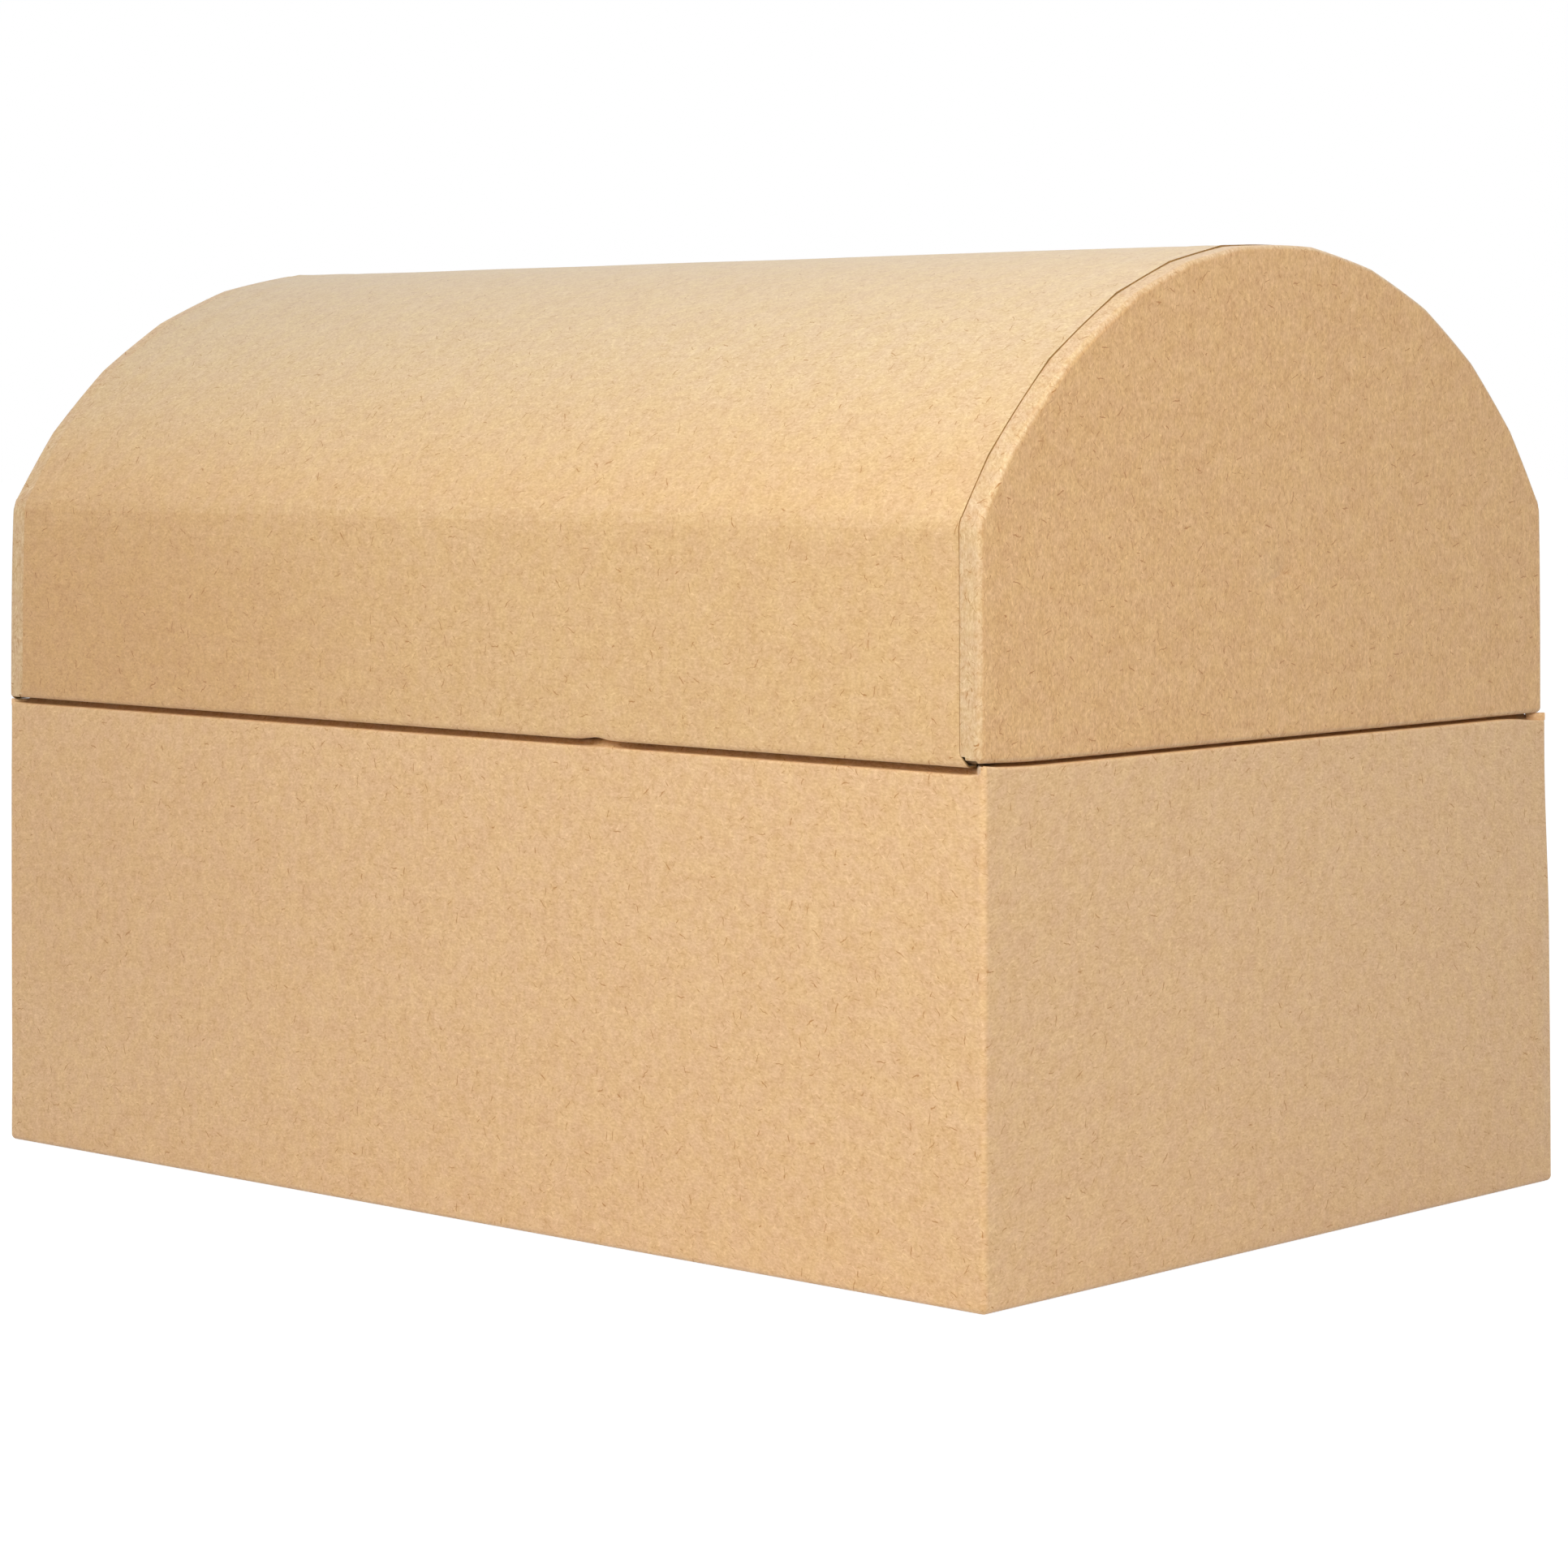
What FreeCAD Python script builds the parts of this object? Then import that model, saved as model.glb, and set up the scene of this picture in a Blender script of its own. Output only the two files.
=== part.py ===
import FreeCAD, Part
import os
import re
import Sketcher

# Treasure chest box: a hinged keepsake chest of greyboard covered with kraft paper.
# The base is a rectangular tray of five glued boards, the lid a bent shell board with two arched ends.
# Origin at the middle of the underside, +X along the length, -Y to the front, +Z up, in millimetres.

DRIVING_SIZES = {
    # The chest as a whole, over the paper of the base and of the lid's front and back
    "chest_length": 240.0,
    "chest_depth": 154.0,
    "base_height": 83.5,
    "parting_gap": 1.2,
    "skirt_height": 36.5,
    "dome_rise": 44.8,
    # Thickness of the boards and papers
    "wall_board": 2.0,
    "floor_board": 2.0,
    "shell_board": 2.0,
    "paper_thickness": 0.3,
    "stay_thickness": 0.15,
    # Outside radius of the covered edges
    "wrap_round": 1.8,
    "rim_round": 1.0,
    "lid_end_round": 1.8,
    "shoulder_round": 7.0,
    # Paper folded over edges
    "rim_turn_in": 12.0,
    "foot_turn_in": 14.0,
    "end_turn_in": 14.0,
    "tab_count": 11,
    "slit_width": 0.4,
    "slit_stop": 5.0,
    "seat_clearance": 0.3,
    # Sheets that stop short of an edge
    "cover_setback": 4.2,
    "underside_margin": 6.0,
    "lining_setback": 4.0,
    "stay_leg": 14.0,
    "stay_setback": 5.0,
    # The paper hinge along the back
    "hinge_leaf": 18.0,
    "hinge_setback": 2.0,
    "liner_leaf": 11.0,
    "liner_setback": 10.0,
    # How far a cutting block runs past what it cuts
    "cut_overrun": 2.0,
}

EDGE_MATCH = 1e-3
# A sketch's numbers for a side's start and end, an arc's centre, and its own origin and upright axis
START, END, CENTRE = range(1, 4)
SKETCH_ORIGIN, SKETCH_UPRIGHT = range(-1, -3, -1)
ACROSS_LENGTH = FreeCAD.Vector(1, 0, 0)
ACROSS_DEPTH = FreeCAD.Vector(0, 1, 0)

doc = FreeCAD.newDocument("treasure_chest_box")
sheet = doc.addObject("Spreadsheet::Sheet", "Sizes")
for row, (alias, size) in enumerate(DRIVING_SIZES.items(), 1):
    sheet.set(f"A{row}", alias)
    sheet.set(f"B{row}", str(size))
    sheet.setAlias(f"B{row}", alias)
doc.recompute()

# Places that several pieces share, as formulas of the sheet's sizes
HALF_LENGTH = "(chest_length / 2)"
HALF_DEPTH = "(chest_depth / 2)"
PAPER = "paper_thickness"
RIM_RADIUS = "min(rim_round; wrap_round - paper_thickness)"
LID_RIM_RADIUS = "min(rim_round; lid_end_round - 2 * paper_thickness)"
BEVEL_SHARE = "(2 - sqrt(2))"
CAVITY_X = f"({HALF_LENGTH} - {PAPER} - wall_board)"
CAVITY_Y = f"({HALF_DEPTH} - {PAPER} - wall_board)"
FLOOR_TOP = f"(2 * {PAPER} + floor_board)"
LID_RIM = "(base_height + parting_gap)"
SHOULDER = f"({LID_RIM} + skirt_height)"
CROWN = f"({SHOULDER} + dome_rise)"
DOME_RADIUS = f"(({HALF_DEPTH}^2 + dome_rise^2) / (2 * dome_rise))"
DOME_AXIS = f"({CROWN} - {DOME_RADIUS})"
SHELL_IN = f"({PAPER} + shell_board)"
SKIRT_IN = f"({HALF_DEPTH} - {SHELL_IN})"
LID_TURN_IN_TOP = f"({LID_RIM} + rim_turn_in)"


def cells(formula):
    """The formula with each alias, a word with an underscore, read from the sheet."""
    return re.sub(r"\b[a-z]+(?:_[a-z]+)+\b", lambda word: f"Sizes.{word.group()}", formula)


def bind(item, name, formula):
    item.setExpression(name, cells(formula))


def measure(formula):
    found = sheet.evalExpression(cells(formula))
    return float(getattr(found, "Value", found))


def add(kind, name, **properties):
    item = doc.addObject(kind, name)
    for key, value in properties.items():
        setattr(item, key, value)
    return item


def slab(name, low, high):
    """A plain block between two corners, each given as three formulas."""
    box = add("Part::Box", name)
    for axis, side, start, end in zip("xyz", ("Length", "Width", "Height"), low, high):
        bind(box, f"Placement.Base.{axis}", start)
        bind(box, side, f"({end}) - ({start})")
    return box


def centred(half_x, half_y, bottom, top):
    """The two corners of a block that lies centred about the upright axis."""
    return (f"-({half_x})", f"-({half_y})", bottom), (half_x, half_y, top)


def cut(name, base, *tools):
    for number, tool in enumerate(tools, 1):
        own = name if number == len(tools) else f"{name}_cut_{number}"
        base = add("Part::Cut", own, Base=base, Tool=tool, Refine=True)
    return base


def common(name, first, second):
    return add("Part::Common", name, Base=first, Tool=second, Refine=True)


def fuse(name, *pieces):
    return add("Part::MultiFuse", name, Shapes=list(pieces), Refine=True)


def mirrored(name, source, normal):
    return add("Part::Mirroring", name, Source=source, Normal=normal)


def sketch_on(body, role, offset):
    """A sketch on one of the body's own planes, moved along its normal by a formula."""
    sketch = body.newObject("Sketcher::SketchObject", f"{body.Name}_sketch")
    plane = next(item for item in body.Origin.OriginFeatures if item.Role == role)
    sketch.AttachmentSupport = (plane, [""])
    sketch.MapMode = "FlatFace"
    bind(sketch, "AttachmentOffset.Base.z", offset)
    return sketch


def constrain(sketch, kind, *where):
    return sketch.addConstraint(Sketcher.Constraint(kind, *where))


def dimension(sketch, name, formula, kind, *where):
    """A dimension of the sketch under its own name, bound to a formula."""
    sketch.renameConstraint(constrain(sketch, kind, *where, measure(formula)), name)
    bind(sketch, f"Constraints.{name}", formula)


def outline(sketch, corners):
    """A closed chain of straight sides through the corners, joined at their ends."""
    points = [FreeCAD.Vector(x, y, 0) for x, y in corners]
    following = points[1:] + points[:1]
    sides = [sketch.addGeometry(Part.LineSegment(*ends)) for ends in zip(points, following)]
    for side, after in zip(sides, sides[1:] + sides[:1]):
        constrain(sketch, "Coincident", side, END, after, START)
    return sides


def rectangle(sketch, name, half_x, half_y):
    """A rectangle centred on the sketch's origin, with its own named length and depth."""
    x, y = measure(half_x), measure(half_y)
    front, right, back, left = outline(sketch, [(-x, -y), (x, -y), (x, y), (-x, y)])
    for side in (front, back):
        constrain(sketch, "Horizontal", side)
    for side in (right, left):
        constrain(sketch, "Vertical", side)
    constrain(sketch, "Symmetric", front, START, back, START, SKETCH_ORIGIN, START)
    dimension(sketch, f"{name}_length", f"2 * ({half_x})", "DistanceX", front, START, front, END)
    dimension(sketch, f"{name}_depth", f"2 * ({half_y})", "DistanceY", right, START, right, END)


def pad(body, sketch, thickness):
    feature = body.newObject("PartDesign::Pad", f"{body.Name}_pad")
    feature.Profile = sketch
    bind(feature, "Length", thickness)
    doc.recompute()
    return feature


def dress(body, kind, chosen, property_name, formula):
    """Work those edges of the body so far whose bounding box is chosen."""
    doc.recompute()
    base = body.Tip
    names = [f"Edge{n}" for n, edge in enumerate(base.Shape.Edges, 1) if chosen(edge.BoundBox)]
    feature = body.newObject(kind, f"{body.Name}_edges")
    feature.Base = (base, names)
    bind(feature, property_name, formula)
    doc.recompute()


def soften(body, chosen, radius):
    dress(body, "PartDesign::Fillet", chosen, "Radius", radius)


def bevel(body, chosen, radius):
    """A hidden board edge, pressed flat to a bevel that fits inside a fold of paper of this radius."""
    dress(body, "PartDesign::Chamfer", chosen, "Size", f"{BEVEL_SHARE} * ({radius})")


def upright(box):
    return box.XLength < EDGE_MATCH and box.YLength < EDGE_MATCH


def along_length(box):
    return box.YLength < EDGE_MATCH and box.ZLength < EDGE_MATCH


def level_at(height):
    level = measure(height)
    return lambda box: box.ZLength < EDGE_MATCH and abs(box.ZMin - level) < EDGE_MATCH


def plate(body, half_x, half_y, bottom, thickness, hole_x=None, hole_y=None):
    """A flat plate of the body, or with a hole, a flat frame."""
    sketch = sketch_on(body, "XY_Plane", bottom)
    rectangle(sketch, "plate", half_x, half_y)
    if hole_x:
        rectangle(sketch, "hole", hole_x, hole_y)
    return pad(body, sketch, thickness)


def base_block(name, inset, bottom, top, finish):
    """The base's outside, moved inwards by the inset, as a block with finished corners, foot and rim."""
    body = add("PartDesign::Body", name)
    plate(body, f"{HALF_LENGTH} - {inset}", f"{HALF_DEPTH} - {inset}", bottom, f"({top}) - ({bottom})")
    foot = level_at(bottom)
    finish(body, lambda box: upright(box) or foot(box), f"wrap_round - {inset}")
    finish(body, level_at(top), f"{RIM_RADIUS} - {inset}")
    return body


def dome_block(name, inset, bottom, start, end):
    """The lid's arched outline, moved inwards by the inset, drawn out along the length from start to end."""
    body = add("PartDesign::Body", name)
    sketch = sketch_on(body, "YZ_Plane", start)
    half, low = measure(f"{HALF_DEPTH} - ({inset})"), measure(bottom)
    axis, radius = measure(DOME_AXIS), measure(f"{DOME_RADIUS} - ({inset})")
    spring = FreeCAD.Vector(half, axis + (radius**2 - half**2) ** 0.5, 0)
    crown = FreeCAD.Vector(0, axis + radius, 0)
    landing = FreeCAD.Vector(-spring.x, spring.y, 0)
    bottom_front, bottom_back = FreeCAD.Vector(-half, low, 0), FreeCAD.Vector(half, low, 0)
    foot = sketch.addGeometry(Part.LineSegment(bottom_front, bottom_back))
    back = sketch.addGeometry(Part.LineSegment(bottom_back, spring))
    arch = sketch.addGeometry(Part.Arc(spring, crown, landing))
    front = sketch.addGeometry(Part.LineSegment(landing, bottom_front))
    constrain(sketch, "Coincident", foot, END, back, START)
    constrain(sketch, "Coincident", back, END, arch, START)
    constrain(sketch, "Coincident", arch, END, front, START)
    constrain(sketch, "Coincident", front, END, foot, START)
    constrain(sketch, "Vertical", back)
    constrain(sketch, "Vertical", front)
    constrain(sketch, "Symmetric", foot, START, foot, END, SKETCH_UPRIGHT)
    constrain(sketch, "PointOnObject", arch, CENTRE, SKETCH_UPRIGHT)
    dimension(sketch, "depth", f"2 * ({HALF_DEPTH} - ({inset}))", "DistanceX", foot, START, foot, END)
    dimension(sketch, "bottom", bottom, "DistanceY", SKETCH_ORIGIN, START, foot, START)
    dimension(sketch, "axis", DOME_AXIS, "DistanceY", SKETCH_ORIGIN, START, arch, CENTRE)
    dimension(sketch, "radius", f"{DOME_RADIUS} - ({inset})", "Radius", arch)
    pad(body, sketch, f"({end}) - ({start})")
    shoulder_radius = f"max(shoulder_round - ({inset}); {PAPER})"
    soften(body, lambda box: along_length(box) and box.ZMin > low + EDGE_MATCH, shoulder_radius)
    return body


def arched_ends(bottom):
    """Chooses the arched edges at both ends of a dome block."""
    low = measure(bottom)
    return lambda box: box.XLength < EDGE_MATCH and box.ZMax > low + EDGE_MATCH


# Base: the outside of its paper and of its boards, which the pieces are cut from
base_outside = base_block("base_outside", "0", PAPER, "base_height", soften)
base_carcass = base_block("base_carcass", PAPER, f"2 * {PAPER}", f"base_height - {PAPER}", bevel)

# Corner stays: gummed paper folded round each upright corner, pressed flush into the boards
STAY_IN = f"({PAPER} + stay_thickness)"
stay_core = add("PartDesign::Body", "stay_core")
plate(stay_core, f"{HALF_LENGTH} - {STAY_IN}", f"{HALF_DEPTH} - {STAY_IN}", "0", "base_height")
bevel(stay_core, upright, f"wrap_round - {STAY_IN}")
stay_zone = slab(
    "stay_zone",
    (f"{HALF_LENGTH} - stay_leg", f"{HALF_DEPTH} - stay_leg", f"2 * {PAPER} + stay_setback"),
    (HALF_LENGTH, HALF_DEPTH, f"base_height - {PAPER} - stay_setback"),
)
base_stay_back_right = cut("base_stay_back_right", common("stay_corner", base_carcass, stay_zone), stay_core)
base_stay_back_left = mirrored("base_stay_back_left", base_stay_back_right, ACROSS_LENGTH)
base_stay_front_right = mirrored("base_stay_front_right", base_stay_back_right, ACROSS_DEPTH)
base_stay_front_left = mirrored("base_stay_front_left", base_stay_back_left, ACROSS_DEPTH)

# Wall boards: front and back run the full length, the ends stand between them
back_zone = slab(
    "back_zone",
    (f"-{HALF_LENGTH}", CAVITY_Y, "0"),
    (HALF_LENGTH, HALF_DEPTH, "base_height"),
)
right_zone = slab(
    "right_zone",
    (CAVITY_X, f"-{CAVITY_Y}", "0"),
    (HALF_LENGTH, CAVITY_Y, "base_height"),
)
base_back_board = cut(
    "base_back_board",
    common("back_wall", base_carcass, back_zone),
    base_stay_back_left,
    base_stay_back_right,
)
base_right_end_board = cut(
    "base_right_end_board",
    common("right_wall", base_carcass, right_zone),
    base_stay_front_right,
    base_stay_back_right,
)
base_front_board = mirrored("base_front_board", base_back_board, ACROSS_DEPTH)
base_left_end_board = mirrored("base_left_end_board", base_right_end_board, ACROSS_LENGTH)

# Floor board: fits inside the four walls
base_floor_board = add("PartDesign::Body", "base_floor_board")
plate(base_floor_board, CAVITY_X, CAVITY_Y, f"2 * {PAPER}", "floor_board")

# Kraft wrap: one sheet over the four walls, turned under the floor and over the rim, tucked at the corners
MOUTH_X, MOUTH_Y = f"{CAVITY_X} - {PAPER}", f"{CAVITY_Y} - {PAPER}"
MIDDLE_X, MIDDLE_Y = f"{HALF_LENGTH} - foot_turn_in", f"{HALF_DEPTH} - foot_turn_in"
BASE_FOLD_BOTTOM = "base_height - rim_turn_in"
skin = cut("base_skin", base_outside, base_carcass)
mouth = slab(
    "base_mouth",
    *centred(MOUTH_X, MOUTH_Y, f"{BASE_FOLD_BOTTOM} - cut_overrun", "base_height + cut_overrun"),
)
underside = slab(
    "base_underside",
    *centred(MIDDLE_X, MIDDLE_Y, "-cut_overrun", f"2 * {PAPER} + cut_overrun"),
)
rim_fold = slab(
    "rim_fold",
    *centred(CAVITY_X, CAVITY_Y, BASE_FOLD_BOTTOM, f"base_height - {PAPER}"),
)
rim_turn_in = cut("rim_turn_in_band", rim_fold, mouth)
tuck = slab(
    "tuck_back_right",
    (MOUTH_X, MOUTH_Y, f"base_height - {PAPER}"),
    (f"{HALF_LENGTH} - rim_round", f"{HALF_DEPTH} - rim_round", f"{LID_RIM} - seat_clearance"),
)
tuck_left = mirrored("tuck_back_left", tuck, ACROSS_LENGTH)
front_tucks = [
    mirrored("tuck_front_right", tuck, ACROSS_DEPTH),
    mirrored("tuck_front_left", tuck_left, ACROSS_DEPTH),
]
base_wrap = fuse(
    "base_wrap",
    cut("base_wrapped", skin, mouth, underside),
    rim_turn_in,
    tuck,
    tuck_left,
    *front_tucks,
)

# Underside sheet: hides the turned-under wrap, its middle drawn up against the floor board
base_underside_sheet = add("PartDesign::Body", "base_underside_sheet")
plate(
    base_underside_sheet,
    f"{HALF_LENGTH} - underside_margin",
    f"{HALF_DEPTH} - underside_margin",
    "0",
    PAPER,
    f"{MIDDLE_X} - {PAPER}",
    f"{MIDDLE_Y} - {PAPER}",
)
plate(base_underside_sheet, MIDDLE_X, MIDDLE_Y, PAPER, PAPER)

# Linings of the base: the wall lining steps over the turned-in rim paper
base_floor_lining = add("PartDesign::Body", "base_floor_lining")
plate(base_floor_lining, CAVITY_X, CAVITY_Y, FLOOR_TOP, PAPER)
base_wall_lining = add("PartDesign::Body", "base_wall_lining")
WALL_LINING_BOTTOM = f"{FLOOR_TOP} + {PAPER}"
plate(
    base_wall_lining,
    CAVITY_X,
    CAVITY_Y,
    WALL_LINING_BOTTOM,
    f"{BASE_FOLD_BOTTOM} - ({WALL_LINING_BOTTOM})",
    MOUTH_X,
    MOUTH_Y,
)
plate(
    base_wall_lining,
    MOUTH_X,
    MOUTH_Y,
    f"{BASE_FOLD_BOTTOM} - {PAPER}",
    f"rim_turn_in - lining_setback + {PAPER}",
    f"{MOUTH_X} - {PAPER}",
    f"{MOUTH_Y} - {PAPER}",
)

# Lid shell: one board bent over the arch, cut from the outside of the lid's boards
BOARD_END = f"({HALF_LENGTH} - {PAPER})"
BOARD_FOOT = f"({LID_RIM} + {PAPER})"
PAST_END = f"({HALF_LENGTH} + cut_overrun)"
PAST_DEPTH = f"({HALF_DEPTH} + {PAPER} + cut_overrun)"
PAST_RIM, PAST_CROWN = f"({LID_RIM} - cut_overrun)", f"({CROWN} + {PAPER} + cut_overrun)"
END_BOARD_IN = f"({BOARD_END} - wall_board)"
END_FOLD_IN = f"({END_BOARD_IN} - {PAPER})"
lid_carcass = dome_block("lid_carcass", PAPER, BOARD_FOOT, f"-{BOARD_END}", BOARD_END)
board_foot = level_at(BOARD_FOOT)
bevel(lid_carcass, arched_ends(BOARD_FOOT), f"lid_end_round - {PAPER}")
bevel(lid_carcass, board_foot, f"{LID_RIM_RADIUS} - {PAPER}")
board_inside = dome_block("board_inside", SHELL_IN, PAST_RIM, f"-{PAST_END}", PAST_END)
lid_shell_board = cut("lid_shell_board", lid_carcass, board_inside)

# Lid end boards: arched boards inside the two ends of the shell
lid_right_end_board = dome_block("lid_right_end_board", SHELL_IN, BOARD_FOOT, END_BOARD_IN, BOARD_END)
end_face = measure(BOARD_END)
bevel(
    lid_right_end_board,
    lambda box: board_foot(box) and box.XLength < EDGE_MATCH and abs(box.XMin - end_face) < EDGE_MATCH,
    f"{LID_RIM_RADIUS} - {PAPER}",
)
lid_left_end_board = mirrored("lid_left_end_board", lid_right_end_board, ACROSS_LENGTH)

# Lid end covers: an arched sheet on each end, its edge slit into tabs and turned onto the shell board
TURN_IN_EDGE = f"({HALF_LENGTH} - end_turn_in)"
TURN_IN_FOOT = f"({LID_RIM} + rim_round + {PAPER})"
end_outside = dome_block("end_outside", "0", LID_RIM, f"-{HALF_LENGTH}", HALF_LENGTH)
lid_foot = level_at(LID_RIM)
soften(end_outside, arched_ends(LID_RIM), "lid_end_round")
soften(end_outside, lid_foot, LID_RIM_RADIUS)
end_zone = slab(
    "end_zone",
    (TURN_IN_EDGE, f"-{PAST_DEPTH}", PAST_RIM),
    (PAST_END, PAST_DEPTH, PAST_CROWN),
)
end_paper = common("end_paper", cut("end_skin", end_outside, lid_carcass), end_zone)
end_mouth = slab(
    "end_mouth",
    (f"{TURN_IN_EDGE} - cut_overrun", f"-{HALF_DEPTH}", PAST_RIM),
    (END_FOLD_IN, HALF_DEPTH, BOARD_FOOT),
)
skirt_foot = slab(
    "skirt_foot",
    (f"{TURN_IN_EDGE} - cut_overrun", f"{SKIRT_IN} - {PAPER}", PAST_RIM),
    (BOARD_END, PAST_DEPTH, TURN_IN_FOOT),
)

ARCH_HALF_ANGLE = f"asin({HALF_DEPTH} / {DOME_RADIUS})"
SLIT_ROOT = f"({DOME_RADIUS} - shell_board)"
slits = []
for number in range(1, int(measure("tab_count"))):
    angle = f"({ARCH_HALF_ANGLE} * (1 - 2 * {number} / tab_count))"
    slit = add("Part::Box", f"tab_slit_{number}")
    bind(slit, "Length", "end_turn_in - slit_stop + cut_overrun")
    bind(slit, "Width", "slit_width")
    bind(slit, "Height", "shell_board + cut_overrun")
    slit.Placement.Rotation = FreeCAD.Rotation(ACROSS_LENGTH, measure(angle))
    bind(slit, "Placement.Base.x", f"{TURN_IN_EDGE} - cut_overrun")
    bind(slit, "Placement.Base.y", f"-{SLIT_ROOT} * sin({angle})")
    bind(slit, "Placement.Base.z", f"{DOME_AXIS} + {SLIT_ROOT} * cos({angle})")
    bind(slit, "Placement.Rotation.Angle", angle)
    slits.append(slit)

end_fold = slab(
    "end_fold",
    (END_FOLD_IN, f"-{SKIRT_IN}", BOARD_FOOT),
    (END_BOARD_IN, SKIRT_IN, LID_TURN_IN_TOP),
)
trimmed_end = cut(
    "trimmed_end",
    end_paper,
    end_mouth,
    skirt_foot,
    mirrored("skirt_foot_front", skirt_foot, ACROSS_DEPTH),
    fuse("tab_slits", *slits),
)
lid_right_end_cover = fuse("lid_right_end_cover", trimmed_end, end_fold)
lid_left_end_cover = mirrored("lid_left_end_cover", lid_right_end_cover, ACROSS_LENGTH)

# Shell cover: one sheet over front, dome and back, which steps up over the turned-in tabs near the ends
COVER_END = f"({HALF_LENGTH} - cover_setback)"
cover_outside = dome_block("cover_outside", "0", LID_RIM, f"-{COVER_END}", COVER_END)
soften(cover_outside, lambda box: along_length(box) and lid_foot(box), LID_RIM_RADIUS)
lid_mouth = slab(
    "lid_mouth",
    *centred(PAST_END, f"{SKIRT_IN} - {PAPER}", PAST_RIM, f"{BOARD_FOOT} + cut_overrun"),
)
tab_zone = slab(
    "tab_zone",
    (TURN_IN_EDGE, f"-{PAST_DEPTH}", TURN_IN_FOOT),
    (PAST_END, PAST_DEPTH, PAST_CROWN),
)
cover_middle = cut(
    "cover_middle",
    cover_outside,
    lid_carcass,
    lid_mouth,
    tab_zone,
    mirrored("tab_zone_left", tab_zone, ACROSS_LENGTH),
)
raised_outside = dome_block("raised_outside", f"-{PAPER}", LID_RIM, f"-{COVER_END}", COVER_END)
raised_inside = dome_block("raised_inside", "0", PAST_RIM, f"-{PAST_END}", PAST_END)
level_middle = slab(
    "level_middle",
    *centred(f"{TURN_IN_EDGE} - {PAPER}", PAST_DEPTH, PAST_RIM, PAST_CROWN),
)
level_foot = slab(
    "level_foot",
    *centred(PAST_END, PAST_DEPTH, PAST_RIM, f"{TURN_IN_FOOT} - {PAPER}"),
)
cover_raised = cut("cover_raised", raised_outside, raised_inside, level_middle, level_foot)
back_fold = slab(
    "lid_back_fold",
    (f"-{COVER_END}", f"{SKIRT_IN} - {PAPER}", BOARD_FOOT),
    (COVER_END, SKIRT_IN, LID_TURN_IN_TOP),
)
front_fold = mirrored("lid_front_fold", back_fold, ACROSS_DEPTH)
lid_shell_cover = fuse("lid_shell_cover", cover_middle, cover_raised, back_fold, front_fold)

# Linings of the lid: each steps over the turned-in rim paper
lining_outside = dome_block("lining_outside", SHELL_IN, LID_TURN_IN_TOP, f"-{END_FOLD_IN}", END_FOLD_IN)
lining_inside = dome_block("lining_inside", f"{SHELL_IN} + {PAPER}", LID_RIM, f"-{PAST_END}", PAST_END)
LINING_FOOT = f"{LID_RIM} + lining_setback"
LINING_STEP = f"{LID_TURN_IN_TOP} + {PAPER}"
back_strip = slab(
    "lining_back_strip",
    (f"-{END_FOLD_IN}", f"{SKIRT_IN} - 2 * {PAPER}", LINING_FOOT),
    (END_FOLD_IN, f"{SKIRT_IN} - {PAPER}", LINING_STEP),
)
lid_shell_lining = fuse(
    "lid_shell_lining",
    cut("arched_lining", lining_outside, lining_inside),
    back_strip,
    mirrored("lining_front_strip", back_strip, ACROSS_DEPTH),
)
end_lining_sheet = dome_block("end_lining_sheet", SHELL_IN, LID_TURN_IN_TOP, END_FOLD_IN, END_BOARD_IN)
end_lining_strip = slab(
    "end_lining_strip",
    (f"{END_FOLD_IN} - {PAPER}", f"-({SKIRT_IN} - 2 * {PAPER})", LINING_FOOT),
    (END_FOLD_IN, f"{SKIRT_IN} - 2 * {PAPER}", LINING_STEP),
)
lid_right_end_lining = fuse("lid_right_end_lining", end_lining_sheet, end_lining_strip)
lid_left_end_lining = mirrored("lid_left_end_lining", lid_right_end_lining, ACROSS_LENGTH)

# Paper hinge: a strip outside the back that carries the lid, and a lining strip over the joint inside
STRIP_END = f"({TURN_IN_EDGE} - hinge_setback)"
LINED_BACK = f"({HALF_DEPTH} - max(wall_board; shell_board) - 3 * {PAPER})"
hinge_strip = slab(
    "hinge_strip",
    (f"-{STRIP_END}", HALF_DEPTH, "base_height - hinge_leaf"),
    (STRIP_END, f"{HALF_DEPTH} + {PAPER}", f"{LID_RIM} + hinge_leaf"),
)
hinge_liner = slab(
    "hinge_liner",
    (f"-({HALF_LENGTH} - liner_setback)", f"{LINED_BACK} - {PAPER}", "base_height - liner_leaf"),
    (f"{HALF_LENGTH} - liner_setback", LINED_BACK, f"{LID_RIM} + liner_leaf"),
)

SUBPARTS = (
    base_floor_board,
    base_front_board,
    base_back_board,
    base_left_end_board,
    base_right_end_board,
    base_stay_front_left,
    base_stay_front_right,
    base_stay_back_left,
    base_stay_back_right,
    base_wrap,
    base_underside_sheet,
    base_wall_lining,
    base_floor_lining,
    hinge_strip,
    hinge_liner,
    lid_shell_board,
    lid_left_end_board,
    lid_right_end_board,
    lid_shell_cover,
    lid_left_end_cover,
    lid_right_end_cover,
    lid_shell_lining,
    lid_left_end_lining,
    lid_right_end_lining,
)

doc.recompute()
failed = [item.Label for item in doc.Objects if {"Invalid", "Error"} & set(item.State)]
if failed:
    raise RuntimeError(f"these objects failed to build: {failed}")
for piece in SUBPARTS:
    if piece.Shape.isNull() or not piece.Shape.isValid() or len(piece.Shape.Solids) != 1:
        raise RuntimeError(f"{piece.Label} is not one sound solid")

os.makedirs("parts", exist_ok=True)
for piece in SUBPARTS:
    piece.Shape.exportStep(f"parts/{piece.Label}.step")
    print(f"{piece.Label}: {piece.Shape.Volume:.0f} mm3")
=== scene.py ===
import math

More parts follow.
